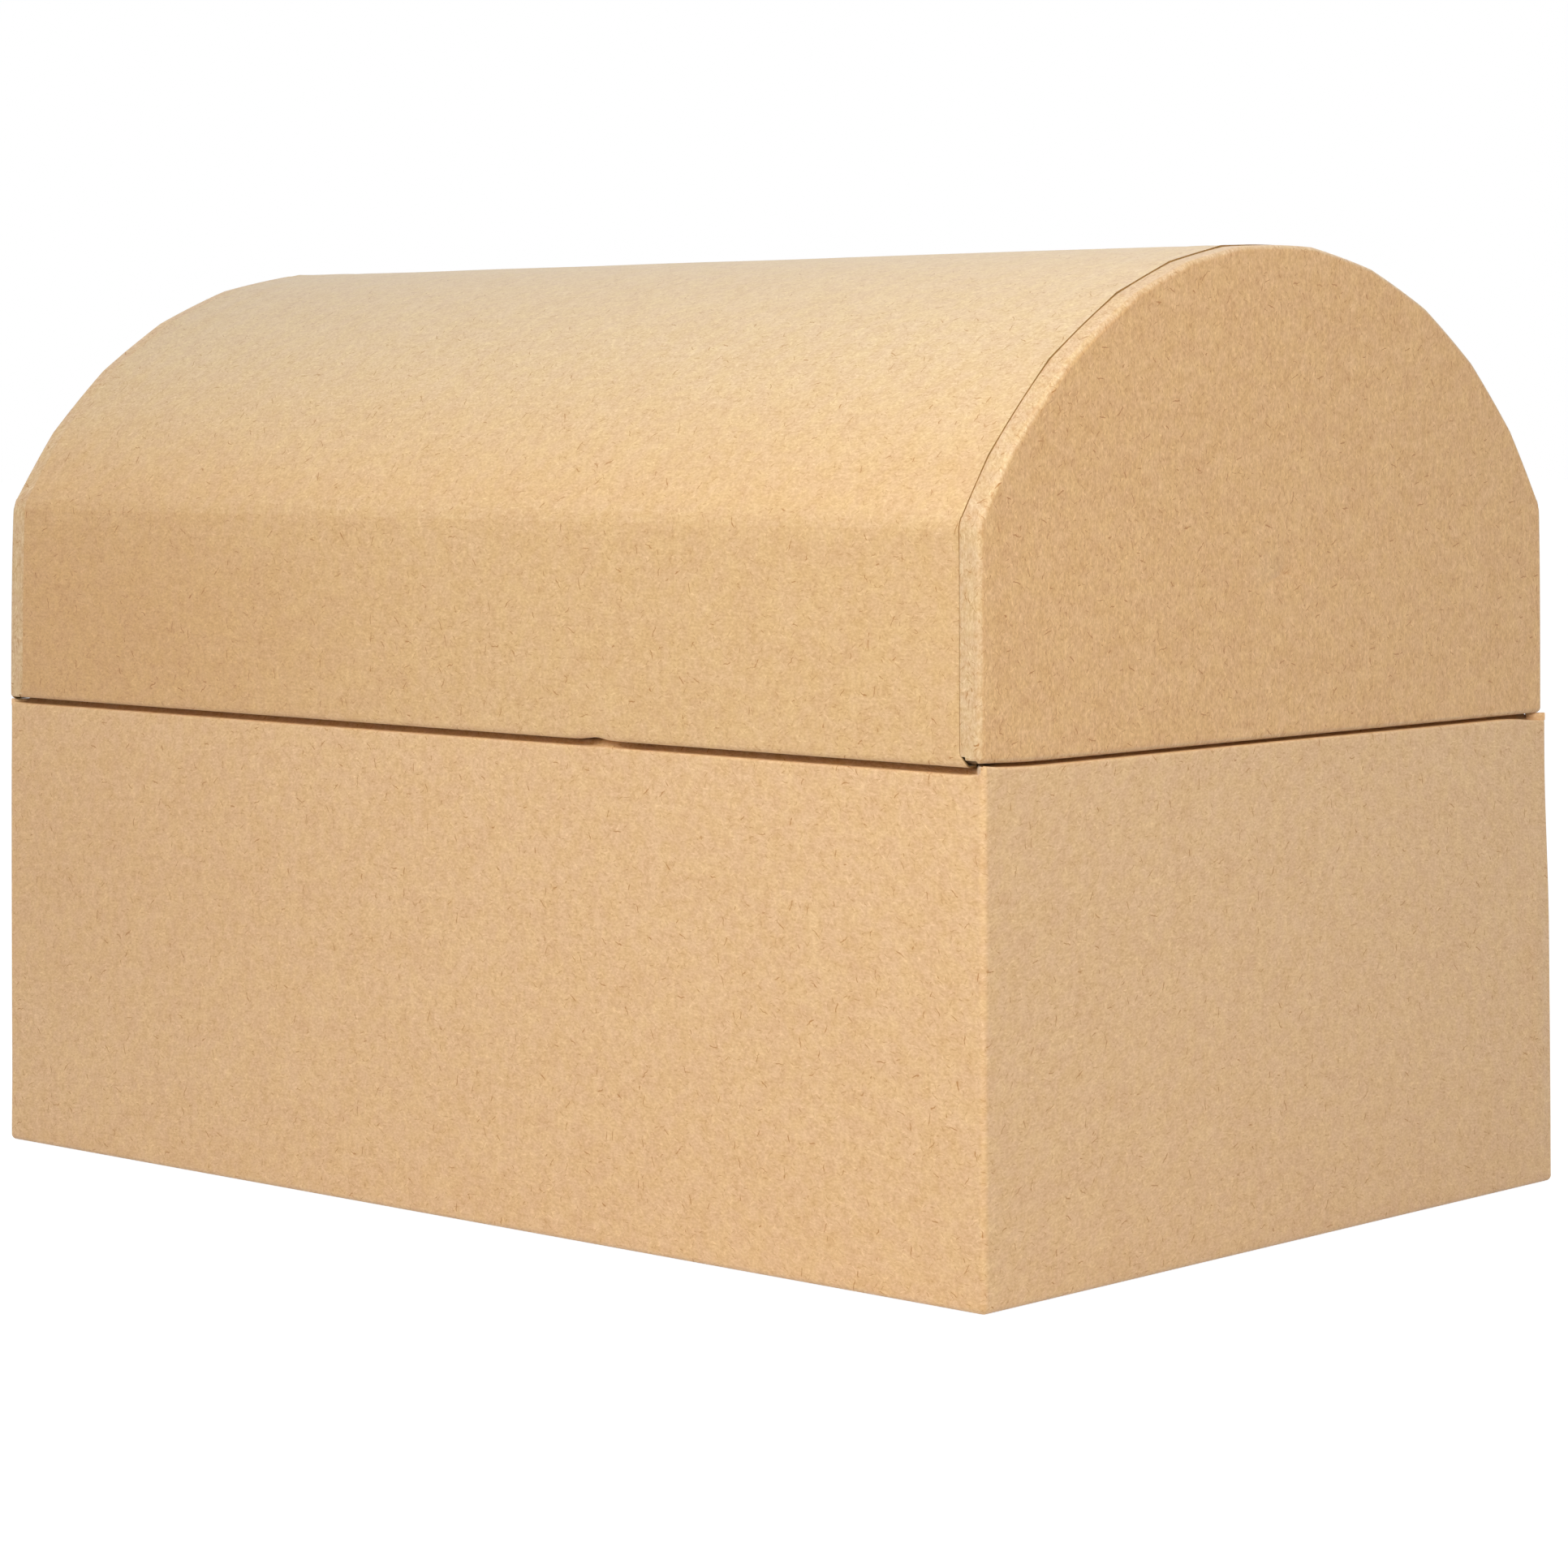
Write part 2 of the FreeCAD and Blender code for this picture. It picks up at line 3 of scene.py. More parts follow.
import bmesh
import bpy
import numpy as np
from mathutils import Matrix, Vector


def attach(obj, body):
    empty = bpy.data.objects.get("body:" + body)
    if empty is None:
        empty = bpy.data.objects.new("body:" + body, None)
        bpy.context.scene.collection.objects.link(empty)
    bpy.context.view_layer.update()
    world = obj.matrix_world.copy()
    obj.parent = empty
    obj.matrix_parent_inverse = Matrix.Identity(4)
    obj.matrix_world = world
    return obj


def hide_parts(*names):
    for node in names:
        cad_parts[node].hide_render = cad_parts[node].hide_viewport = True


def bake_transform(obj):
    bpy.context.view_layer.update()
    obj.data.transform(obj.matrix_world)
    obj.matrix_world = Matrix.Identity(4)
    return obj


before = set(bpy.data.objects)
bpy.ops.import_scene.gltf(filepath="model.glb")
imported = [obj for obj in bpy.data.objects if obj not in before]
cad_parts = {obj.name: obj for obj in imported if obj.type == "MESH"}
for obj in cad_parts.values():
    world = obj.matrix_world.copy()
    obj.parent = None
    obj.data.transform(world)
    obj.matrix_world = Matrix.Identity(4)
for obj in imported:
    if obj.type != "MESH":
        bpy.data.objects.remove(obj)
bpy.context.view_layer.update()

# Treasure chest box: greyboard covered with kraft paper, a rectangular base and a domed lid on a paper hinge.
# Lengths are in millimetres, as the solids have them, and become metres where a mesh is made.
MM = 0.001
HALF_LENGTH, HALF_DEPTH = 120.0, 77.0
PAPER, BOARD = 0.3, 2.0
BASE_FOOT, BASE_RIM, LID_RIM, PARTING = 0.1, 83.5, 84.7, 84.1
SKIRT_HEIGHT, DOME_RISE, CREASE_LIFT = 36.5, 44.8, 0.4
SHOULDER = LID_RIM + SKIRT_HEIGHT
CROWN = SHOULDER + DOME_RISE
DOME_RADIUS, COVER_RADIUS = (
    (HALF_DEPTH**2 + rise**2) / (2 * rise) for rise in (DOME_RISE, DOME_RISE - CREASE_LIFT)
)
DOME_AXIS = CROWN - DOME_RADIUS
SHOULDER_ROUND, CREASE_ROUND, END_ROUND, WRAP_ROUND, RIM_ROUND, FOLD_ROUND = 7.0, 5.0, 0.9, 1.0, 1.0, 0.35
FOOT_ROUND, BASE_RIM_ROUND, SMALLEST_ROUND = 1.0, 0.5, 0.05
RIM_TURN_IN, FOOT_TURN_IN = 12.0, 14.0
WALL_IN = PAPER + BOARD
FOLD_IN = WALL_IN + PAPER
COVER_SETBACK, END_TURN_IN, SLIT_STOP, SLIT_WIDTH = 4.2, 14.0, 5.0, 0.4
COVER_END = HALF_LENGTH - COVER_SETBACK
TAB_COUNT = 11
ARCH_HALF_ANGLE = math.asin(HALF_DEPTH / DOME_RADIUS)
TAB_ANGLE = 2 * ARCH_HALF_ANGLE / TAB_COUNT
LID_CENTRE, BASE_CENTRE = np.array([0.0, 0.0, 110.0]), np.array([0.0, 0.0, 42.0])
SMOOTH_ANGLE = math.radians(40)
HANDWORK_SEED, WAVE_COUNT, WAVE_SPREAD = 11, 5, (0.7, 1.6)

# The papered walls lean outwards, less at the back, where the lid turns.
FOOT_LEAN, BASE_RIM_LEAN, LID_RIM_LEAN, LEAN_FADE = 2.3, 1.2, 0.9, 0.6
BACK_RIM_SHARE, LID_BACK_SHARE, BACK_LEAN_ZONE = 0.3, 0.0, (45.0, 80.0)
BASE_SHIFT = np.array([0.3, 0.4])


def smooth_step(value, low, high):
    """Goes smoothly from 0 at low to 1 at high."""
    share = np.clip((np.asarray(value, float) - low) / (high - low), 0, 1)
    return share * share * (3 - 2 * share)


def between(value, start, end):
    """Goes smoothly from 0 to 1 over the start zone and back to 0 over the end zone."""
    return smooth_step(value, *start) * (1 - smooth_step(value, *end))


def hump(value, middle, reach):
    """1 at the middle, and falls away smoothly to both sides."""
    return np.exp(-(((value - middle) / reach) ** 2))


def gentle_waves(seed, first, second, length):
    """Hand-made unevenness between about -1 and 1, as a sum of a few slanting waves of about this length."""
    draw = np.random.default_rng(seed)
    total = np.zeros(np.broadcast(first, second).shape)
    for _ in range(WAVE_COUNT):
        heading, phase = draw.uniform(0, 2 * math.pi, 2)
        own = length * draw.uniform(*WAVE_SPREAD)
        total += np.sin(2 * math.pi * (first * math.cos(heading) + second * math.sin(heading)) / own + phase)
    return total / WAVE_COUNT


def base_lean(height):
    """How far the base's papered walls lean outwards: most at the foot."""
    return FOOT_LEAN + (BASE_RIM_LEAN - FOOT_LEAN) * np.clip(height / BASE_RIM, 0, 1)


def lid_lean(height):
    """How far the lid's papered walls lean outwards: most at the lower edge, nothing from the shoulder up."""
    return LID_RIM_LEAN * np.clip((SHOULDER - height) / SKIRT_HEIGHT, 0, 1) ** LEAN_FADE


def base_back_share(height):
    """The share of the base's lean that its back has: less near the rim."""
    return 1 - (1 - BACK_RIM_SHARE) * smooth_step(height, *BACK_LEAN_ZONE)


def leaned(points, lean, back_share):
    """Places moved outwards by the lean, or by a share of it at the back."""
    moved = points.copy()
    moved[..., 0] *= 1 + lean / HALF_LENGTH
    moved[..., 1] *= 1 + lean * np.where(moved[..., 1] > 0, back_share, 1.0) / HALF_DEPTH
    return moved


# Node trees


def node_tree(owner):
    """An empty tree for a material or the world."""
    owner.use_nodes = True
    owner.node_tree.nodes.clear()
    return owner.node_tree


def add_node(tree, kind, inputs=None, **settings):
    """A node with its settings, whose inputs are values or other nodes' outputs."""
    node = tree.nodes.new(kind)
    for key, value in settings.items():
        setattr(node, key, value)
    for key, value in (inputs or {}).items():
        if isinstance(value, bpy.types.NodeSocket):
            tree.links.new(value, node.inputs[key])
        else:
            node.inputs[key].default_value = value
    return node


def math_node(tree, operation, *values, clamp=False):
    node = add_node(tree, "ShaderNodeMath", dict(enumerate(values)), operation=operation, use_clamp=clamp)
    return node.outputs[0]


def vector_node(tree, operation, *values, output=0):
    node = add_node(tree, "ShaderNodeVectorMath", dict(enumerate(values)), operation=operation)
    return node.outputs[output]


def combined(tree, x=0.0, y=0.0, z=0.0):
    return add_node(tree, "ShaderNodeCombineXYZ", {0: x, 1: y, 2: z}).outputs[0]


def separated(tree, vector):
    return add_node(tree, "ShaderNodeSeparateXYZ", {0: vector}).outputs


def mix_colour(tree, factor, first, second, blend="MIX"):
    inputs = {0: factor, 6: first, 7: second}
    return add_node(tree, "ShaderNodeMix", inputs, data_type="RGBA", blend_type=blend).outputs[2]


def tinged(tree, colour, factor, first, second):
    """The colour multiplied by a tinge, which goes from the first to the second."""
    return mix_colour(tree, 1.0, colour, mix_colour(tree, factor, first, second), "MULTIPLY")


def ramp(tree, value, low, high, kind="SMOOTHSTEP"):
    """Goes from 0 where the value is low to 1 where it is high."""
    inputs = {"Value": value, "From Min": low, "From Max": high}
    return add_node(tree, "ShaderNodeMapRange", inputs, interpolation_type=kind).outputs["Result"]


def noise(tree, place, scale, detail=2.0, roughness=0.55, output="Fac"):
    inputs = {"Vector": place, "Scale": scale, "Detail": detail, "Roughness": roughness}
    return add_node(tree, "ShaderNodeTexNoise", inputs, noise_dimensions="2D").outputs[output]


def object_place(tree):
    return add_node(tree, "ShaderNodeTexCoord").outputs["Object"]


def opaque(red, green, blue):
    return (red, green, blue, 1.0)


def add_object(name, data):
    thing = bpy.data.objects.new(name, data)
    bpy.context.scene.collection.objects.link(thing)
    return thing


# Papers and boards

WHITE = opaque(1.0, 1.0, 1.0)
BASE_TONE, LID_TONE, LID_END_TONE = (0.735, 0.462, 0.222), (0.685, 0.43, 0.192), (0.7, 0.408, 0.164)
LINING_TONE, HINGE_TONE, TAPE_TONE = (0.69, 0.415, 0.19), (0.7, 0.42, 0.195), (0.6, 0.4, 0.22)
CUT_EDGE_TONE, CUT_EDGE_FLECK = (0.4, 0.24, 0.09), (0.55, 0.36, 0.17)
GREYBOARD_TONE, GREYBOARD_FLECK = (0.36, 0.24, 0.14), (0.16, 0.1, 0.06)

# Scales and fibre sizes are for places on the sheet in millimetres.
GRAIN_STRETCH, GRAIN_NOISE, PULP_NOISE = (0.6, 1.0, 1.0), (2.6, 3.0, 0.65), (1.1, 4.0, 0.65)
SPECKLE_SCALE, PATCH_SCALE, DRIFT_SCALE, TINT_SCALE, TINT_OFFSET = 1.0, 0.38, 0.12, 0.25, (90.0, 40.0, 0.0)
FIBRE_SIZES = ("Spacing", "Share", "Half length", "Half width", "Lean", "Offset")
PALE_FIBRES = (1.5, 0.5, 0.75, 0.09, 2.2, 37.0)
BROWN_FIBRES = (1.4, 0.5, 0.6, 0.08, 2.6, 11.0)
DARK_FIBRES = (3.6, 0.3, 0.8, 0.11, 4.0, 71.0)
BOARD_BITS = (2.2, 0.4, 0.7, 0.12, 6.0, 5.0)
FIBRE_SCATTER, FIBRE_BEND_SCALE, FIBRE_BEND = 0.85, 1.1, (0.5, 0.5, 0.0)
SHORTEST_FIBRE, FIBRE_TIP, FIBRE_CORE = 0.4, 0.6, 0.35
SLANT_ACROSS, SLANT_UP = (1000.0, 1000.0, 0.0), (600.0, -600.0, 1000.0)

# The grain changes all three colours by about the same step to the eye, so its blue changes most.
EVEN_STEP, GRAIN_DEPTH, LID_END_GRAIN = (1.0, 1.65, 2.45), 0.33, 1.3
GRAIN_SHARE, SPECKLE_SHARE, PATCH_SHARE, DRIFT_SHARE = 0.66, 0.36, 0.22, 0.12
PALE_FIBRE_SHARE, BROWN_FIBRE_SHARE, DARK_FIBRE_SHARE = 0.18, 0.3, 0.6
YELLOW_TINT, PINK_TINT, TINT_RANGE = opaque(1.006, 1.01, 0.965), opaque(0.997, 0.988, 1.035), (0.3, 0.7)
RUBBED_FADE, RUB_SPECKLE, LEAST_RUB = opaque(0.94, 1.07, 1.34), 0.8, 0.6

# The crown's paper is paler, a painted sheen, and the front left darker and browner, a painted shade, at
# these heights and places in metres.
PAINTED_SHEEN_HEIGHTS, PAINTED_CROWN_SHEEN = (0.118, 0.158), opaque(0.98, 1.1, 1.3)
PAINTED_SHADE_CORNER, PAINTED_SHADE_STRETCH, PAINTED_SHADE_REACH = (-0.125, -0.077), 3.0, (0.03, 0.15)
BASE_PAINTED_SHADE, LID_PAINTED_SHADE = (0.06, opaque(0.97, 0.94, 0.9)), (0.095, opaque(0.92, 0.83, 0.71))

PAPER_GLOSS, PAPER_SHEEN, SHEEN_ROUGHNESS, SHEEN_TINT = 0.6, 0.5, 0.5, opaque(1.0, 0.97, 0.92)
PAPER_ROUGHNESS, ROUGHNESS_SPECKLE, FIBRE_RELIEF = 0.6, 0.16, 0.3
PAPER_RELIEF, BOARD_RELIEF = (0.07, 0.00006), (0.3, 0.0001)
BOARD_GLOSS, BOARD_ROUGHNESS, BOARD_ROUGHNESS_PULP = 0.2, 0.8, 0.1
BOARD_SHADE, PULP_RANGE, FLECK_STRENGTH = 0.7, (0.25, 0.75), 0.5


def fibre_group():
    """Scattered short paper fibres: how strongly a place on the sheet, in millimetres, lies on one."""
    tree = bpy.data.node_groups.new("scattered_fibres", "ShaderNodeTree")
    tree.interface.new_socket("Place", in_out="INPUT", socket_type="NodeSocketVector")
    for name in FIBRE_SIZES:
        tree.interface.new_socket(name, in_out="INPUT", socket_type="NodeSocketFloat")
    tree.interface.new_socket("Fibre", in_out="OUTPUT", socket_type="NodeSocketFloat")
    given = tree.nodes.new("NodeGroupInput").outputs
    place = vector_node(tree, "ADD", given["Place"], combined(tree, given["Offset"], given["Offset"]))
    wobble = noise(tree, place, FIBRE_BEND_SCALE, detail=1.0, roughness=0.5, output="Color")
    bend = vector_node(tree, "MULTIPLY_ADD", wobble, FIBRE_BEND, place)
    cells = vector_node(tree, "DIVIDE", bend, combined(tree, given["Spacing"], given["Spacing"], 1.0))
    inputs = {"Vector": cells, "Scale": 1.0, "Randomness": FIBRE_SCATTER}
    scatter = add_node(tree, "ShaderNodeTexVoronoi", inputs, voronoi_dimensions="2D").outputs
    away = vector_node(tree, "SUBTRACT", cells, scatter["Position"])
    draws = add_node(tree, "ShaderNodeSeparateColor", {"Color": scatter["Color"]}).outputs
    turn = math_node(tree, "MULTIPLY", math_node(tree, "SUBTRACT", draws[0], 0.5), given["Lean"])
    inputs = {"Vector": away, "Angle": turn}
    turned = add_node(tree, "ShaderNodeVectorRotate", inputs, rotation_type="Z_AXIS").outputs[0]
    along, across = (
        math_node(tree, "MULTIPLY", math_node(tree, "ABSOLUTE", part), given["Spacing"])
        for part in separated(tree, turned)[:2]
    )
    own_share = math_node(tree, "ADD", draws[1], SHORTEST_FIBRE)
    length = math_node(tree, "MULTIPLY", given["Half length"], own_share)
    reach = ramp(tree, along, length, math_node(tree, "MULTIPLY", length, FIBRE_TIP), "LINEAR")
    width = given["Half width"]
    body = ramp(tree, across, width, math_node(tree, "MULTIPLY", width, FIBRE_CORE), "LINEAR")
    kept = math_node(tree, "LESS_THAN", draws[2], given["Share"])
    strength = math_node(tree, "MULTIPLY", math_node(tree, "MULTIPLY", reach, body), kept)
    add_node(tree, "NodeGroupOutput", {"Fibre": strength})
    return tree


FIBRES = fibre_group()


def fibres(tree, place, sizes):
    inputs = {"Place": place, **dict(zip(FIBRE_SIZES, sizes))}
    return add_node(tree, "ShaderNodeGroup", inputs, node_tree=FIBRES).outputs["Fibre"]


def sheet_place(tree):
    """Place on the flat sheet in millimetres, along the fibres and across them, from the sheet's own map."""
    return add_node(tree, "ShaderNodeUVMap", uv_map="sheet").outputs[0]


def slanted_place(tree):
    """Place in millimetres for flat boards, on two slanting directions, so that no face is seen edge on."""
    spot = object_place(tree)
    first, second = (
        vector_node(tree, "DOT_PRODUCT", spot, slant, output="Value") for slant in (SLANT_ACROSS, SLANT_UP)
    )
    return combined(tree, first, second)


def dress(tree, relief, depth, inputs):
    """The surface that the material shows, with a fine relief."""
    bump = {"Strength": depth[0], "Distance": depth[1], "Height": relief}
    normal = add_node(tree, "ShaderNodeBump", bump).outputs["Normal"]
    shader = add_node(tree, "ShaderNodeBsdfPrincipled", {**inputs, "Normal": normal})
    add_node(tree, "ShaderNodeOutputMaterial", {"Surface": shader.outputs["BSDF"]})


def kraft_material(
    name, place_of, tone, wear=True, sheen=PAPER_SHEEN, paint_crown_sheen=False, painted_shade=None, grain_level=1.0
):
    """Uncoated kraft paper: grain of several sizes, pale and brown fibres, faint tints and paler folds.

    A sheet can be made paler towards the crown, as a painted sheen, and darker and browner at the front left,
    as a painted shade of the given height and tinge.
    """
    material = bpy.data.materials.new(name)
    tree = node_tree(material)
    place = place_of(tree)
    drawn = vector_node(tree, "MULTIPLY", place, GRAIN_STRETCH)
    grain = noise(tree, drawn, *GRAIN_NOISE)
    speckle = noise(tree, drawn, SPECKLE_SCALE)
    tint = noise(tree, vector_node(tree, "ADD", place, TINT_OFFSET), TINT_SCALE)
    pale_fibre = fibres(tree, place, PALE_FIBRES)
    shade = 0.5 * (1 - grain_level * (GRAIN_SHARE + SPECKLE_SHARE + PATCH_SHARE + DRIFT_SHARE))
    for layer, share in (
        (grain, GRAIN_SHARE),
        (speckle, SPECKLE_SHARE),
        (noise(tree, place, PATCH_SCALE), PATCH_SHARE),
        (noise(tree, place, DRIFT_SCALE), DRIFT_SHARE),
        (pale_fibre, PALE_FIBRE_SHARE),
        (fibres(tree, place, BROWN_FIBRES), -BROWN_FIBRE_SHARE),
        (fibres(tree, place, DARK_FIBRES), -DARK_FIBRE_SHARE),
    ):
        shade = math_node(tree, "MULTIPLY_ADD", layer, grain_level * share, shade)
    darkest, palest = (
        opaque(*(channel * (1 + way * GRAIN_DEPTH * step) for channel, step in zip(tone, EVEN_STEP)))
        for way in (-1, 1)
    )
    colour = mix_colour(tree, shade, darkest, palest)
    colour = tinged(tree, colour, ramp(tree, tint, *TINT_RANGE), YELLOW_TINT, PINK_TINT)
    # Painted shade: darker and browner towards the front left end, where less light falls.
    if painted_shade:
        middle, tinge = (*PAINTED_SHADE_CORNER, painted_shade[0] * PAINTED_SHADE_STRETCH), painted_shade[1]
        tall = vector_node(tree, "MULTIPLY", object_place(tree), (1.0, 1.0, PAINTED_SHADE_STRETCH))
        away = vector_node(tree, "DISTANCE", tall, middle, output="Value")
        colour = tinged(tree, colour, ramp(tree, away, *PAINTED_SHADE_REACH), tinge, WHITE)
    # Painted sheen: the sheet gets paler and less saturated towards the crown, standing in for a reflection
    # of the bright surroundings.
    if paint_crown_sheen:
        height = separated(tree, object_place(tree))["Z"]
        colour = tinged(tree, colour, ramp(tree, height, *PAINTED_SHEEN_HEIGHTS), WHITE, PAINTED_CROWN_SHEEN)
    if wear:
        fold = add_node(tree, "ShaderNodeAttribute", attribute_name="fold_wear").outputs["Fac"]
        uneven = math_node(tree, "MULTIPLY_ADD", speckle, RUB_SPECKLE, LEAST_RUB)
        rubbed = math_node(tree, "MINIMUM", math_node(tree, "MULTIPLY", fold, uneven), 1.0)
        colour = tinged(tree, colour, rubbed, WHITE, RUBBED_FADE)
    relief = math_node(tree, "ADD", grain, math_node(tree, "MULTIPLY", pale_fibre, FIBRE_RELIEF))
    dress(tree, relief, PAPER_RELIEF, {
        "Base Color": colour,
        "Roughness": math_node(tree, "MULTIPLY_ADD", speckle, ROUGHNESS_SPECKLE, PAPER_ROUGHNESS),
        "Specular IOR Level": PAPER_GLOSS,
        "Sheen Weight": sheen,
        "Sheen Roughness": SHEEN_ROUGHNESS,
        "Sheen Tint": SHEEN_TINT,
    })
    return material


def board_material(name, tone, fleck):
    """Raw board: matted grey-brown pulp with flecks of the papers it was made from."""
    material = bpy.data.materials.new(name)
    tree = node_tree(material)
    place = slanted_place(tree)
    pulp = noise(tree, place, *PULP_NOISE)
    darker = opaque(*(channel * BOARD_SHADE for channel in tone))
    colour = mix_colour(tree, ramp(tree, pulp, *PULP_RANGE), darker, opaque(*tone))
    bits = math_node(tree, "MULTIPLY", fibres(tree, place, BOARD_BITS), FLECK_STRENGTH)
    dress(tree, pulp, BOARD_RELIEF, {
        "Base Color": mix_colour(tree, bits, colour, opaque(*fleck)),
        "Roughness": math_node(tree, "MULTIPLY_ADD", pulp, BOARD_ROUGHNESS_PULP, BOARD_ROUGHNESS),
        "Specular IOR Level": BOARD_GLOSS,
    })
    return material


# Both outer papers get a painted shade at the front left, and the lid's paper a painted sheen towards the
# crown.
base_kraft = kraft_material("kraft_base_paper", sheet_place, BASE_TONE, painted_shade=BASE_PAINTED_SHADE)
lid_kraft = kraft_material("kraft_lid_paper", sheet_place, LID_TONE, paint_crown_sheen=True, painted_shade=LID_PAINTED_SHADE)
lid_end_kraft = kraft_material("kraft_lid_end_paper", sheet_place, LID_END_TONE, grain_level=LID_END_GRAIN)
lining = kraft_material("kraft_lining", sheet_place, LINING_TONE)
hinge_paper = kraft_material("kraft_hinge_paper", sheet_place, HINGE_TONE)
rim_fold = kraft_material("kraft_glued_rim_fold", sheet_place, BASE_TONE, wear=False, sheen=0.0)
flat_kraft = kraft_material("kraft_small_pieces", slanted_place, BASE_TONE, wear=False)
stay_tape = kraft_material("gummed_tape", slanted_place, TAPE_TONE, wear=False)
cut_edge = board_material("kraft_cut_edge", CUT_EDGE_TONE, CUT_EDGE_FLECK)
greyboard = board_material("raw_greyboard", GREYBOARD_TONE, GREYBOARD_FLECK)

# Sheets of paper


def sheet_faces(rows, columns, closed):
    """Four-cornered faces between the rows and columns of a sheet."""
    span = columns if closed else columns - 1
    return [
        (row * columns + column, row * columns + (column + 1) % columns,
         (row + 1) * columns + (column + 1) % columns, (row + 1) * columns + column)
        for row in range(rows - 1)
        for column in range(span)
    ]


def paper_sheet(
    name, points, flat, centre, facing, materials,
    wear=None, closed=False, keep=None, pole=None, third_finish=None,
):
    """A sheet of paper with its own thickness, from a grid of places on its visible face.

    flat is each place on the sheet before it was folded, with one more column where the ends of a wrap meet.
    facing is 1 where the visible face looks away from the centre and -1 where it looks towards it.
    materials are for the faces, the cut edges and the faces where third_finish is true.
    wear says how rubbed each place is, keep leaves out faces, and a pole closes the first row.
    """
    rows, columns = points.shape[:2]
    places = [tuple(spot) for spot in points.reshape(-1, 3) * MM]
    faces = sheet_faces(rows, columns, closed)
    if keep is not None:
        faces = [face for face, wanted in zip(faces, keep) if wanted]
    worn = np.zeros(rows * columns) if wear is None else wear.reshape(-1)
    laid = flat[:, :columns].reshape(-1, 2)
    wrap = flat[:, columns] - flat[:, 0] if flat.shape[1] > columns else None
    if pole is not None:
        places.append(tuple(np.asarray(pole[0]) * MM))
        laid = np.vstack([laid, pole[1]])
        worn = np.append(worn, 0.0)
        faces += [(column, len(places) - 1, (column + 1) % columns) for column in range(columns)]
    mesh = bpy.data.meshes.new(name)
    mesh.from_pydata(places, [], faces)
    mesh.update()
    outward = sum(
        (polygon.center - Vector(centre * MM)).dot(polygon.normal) * polygon.area for polygon in mesh.polygons
    )
    if outward * facing < 0:
        mesh.flip_normals()
    layer = mesh.uv_layers.new(name="sheet")
    for polygon in mesh.polygons:
        own = [mesh.loops[corner].vertex_index for corner in polygon.loop_indices]
        meets = wrap is not None and max(index % columns for index in own) == columns - 1
        for corner, index in zip(polygon.loop_indices, own):
            spot = laid[index]
            if meets and index % columns == 0:
                spot = spot + wrap[index // columns]
            layer.data[corner].uv = spot
    if third_finish is not None:
        mesh.polygons.foreach_set("material_index", np.where(third_finish, 2, 0).astype(np.int32))
    attribute = mesh.attributes.new("fold_wear", "FLOAT", "POINT")
    attribute.data.foreach_set("value", np.asarray(worn, np.float32))
    for material in materials:
        mesh.materials.append(material)
    piece = add_object(name, mesh)
    thickness = piece.modifiers.new("paper", "SOLIDIFY")
    thickness.thickness = PAPER * MM
    thickness.offset = -1.0
    thickness.material_offset_rim = 1
    return plain_mesh(piece)


def plain_mesh(piece):
    """Replaces the piece's mesh by its finished one and takes the modifiers off."""
    bpy.context.view_layer.update()
    finished = bpy.data.meshes.new_from_object(piece.evaluated_get(bpy.context.evaluated_depsgraph_get()))
    piece.modifiers.clear()
    rough, piece.data = piece.data, finished
    bpy.data.meshes.remove(rough)
    finished.name = piece.name
    finished.polygons.foreach_set("use_smooth", [True] * len(finished.polygons))
    finished.set_sharp_from_angle(angle=SMOOTH_ANGLE)
    return piece


def put(piece, body, slot, *nodes):
    """The piece moves with the body and stands for the nodes; the slot is not used."""
    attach(piece, body)
    if nodes:
        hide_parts(*nodes)


def lengths_along(points):
    """How far each place lies along its line of places, measured over the sheet from the first one."""
    steps = np.linalg.norm(np.diff(points, axis=0), axis=-1)
    return np.concatenate([np.zeros((1, *steps.shape[1:])), np.cumsum(steps, axis=0)])


def quarter(count):
    """Angles of a quarter turn."""
    return np.linspace(0, math.pi / 2, count)


# The base wrap

CORNER_STATIONS = 8
NEAR_CORNER = np.array([0.9995, 0.998, 0.994, 0.988, 0.98])
EVEN_STATIONS, NICK_STATIONS = np.linspace(-1, 1, 61), np.linspace(0.29, 0.42, 14)
SIDE_STATIONS = np.unique(np.concatenate([EVEN_STATIONS, NICK_STATIONS, NEAR_CORNER, -NEAR_CORNER]))
UNDER_INSETS, RIM_INSETS = (FOOT_TURN_IN, 9.0, 4.0, 2.2), (0.8, 1.1, 1.4, 1.7, 2.0)
WALL_HEIGHTS = (
    1.6, 2.6, 4, 7, 12, 18, 24, 30, 36, 42, 48, 54, 60, 66, 71, 75, 78, 80, 81.3, 82.1, 82.6,
)
BASE_FOLD_FOOT = BASE_RIM - RIM_TURN_IN
TURNED_IN_HEIGHTS = (82.6, 80.0, 76.0, BASE_FOLD_FOOT)
FRONT_RIM_RISE, END_RIM_RISE, CORNER_RISE, CORNER_REACH, LIP_HEIGHT = 0.12, 0.6, 0.3, 2.5, 84.7
RIM_BUMP_X, RIM_BUMP_WIDTH, RIM_BUMP_RISE, BUMP_LIP_OUT, BUMP_LIP_RISE = 38.5, 3.0, 0.12, 0.6, 0.42
END_CORNER_RISE, END_CORNER_REACH, FRONT_TILT = 0.4, 8.0, 0.35
LIP_INSETS, LIP_ZONE, RIM_FOLD_START, EDGE_WEAR = (1.4, 2.2), (80.0, 83.0), 0.2, 0.05
END_ZONE, BACK_ZONE = (HALF_LENGTH - 1.5, HALF_LENGTH - 0.2), (HALF_DEPTH - 12.0, HALF_DEPTH - 2.0)
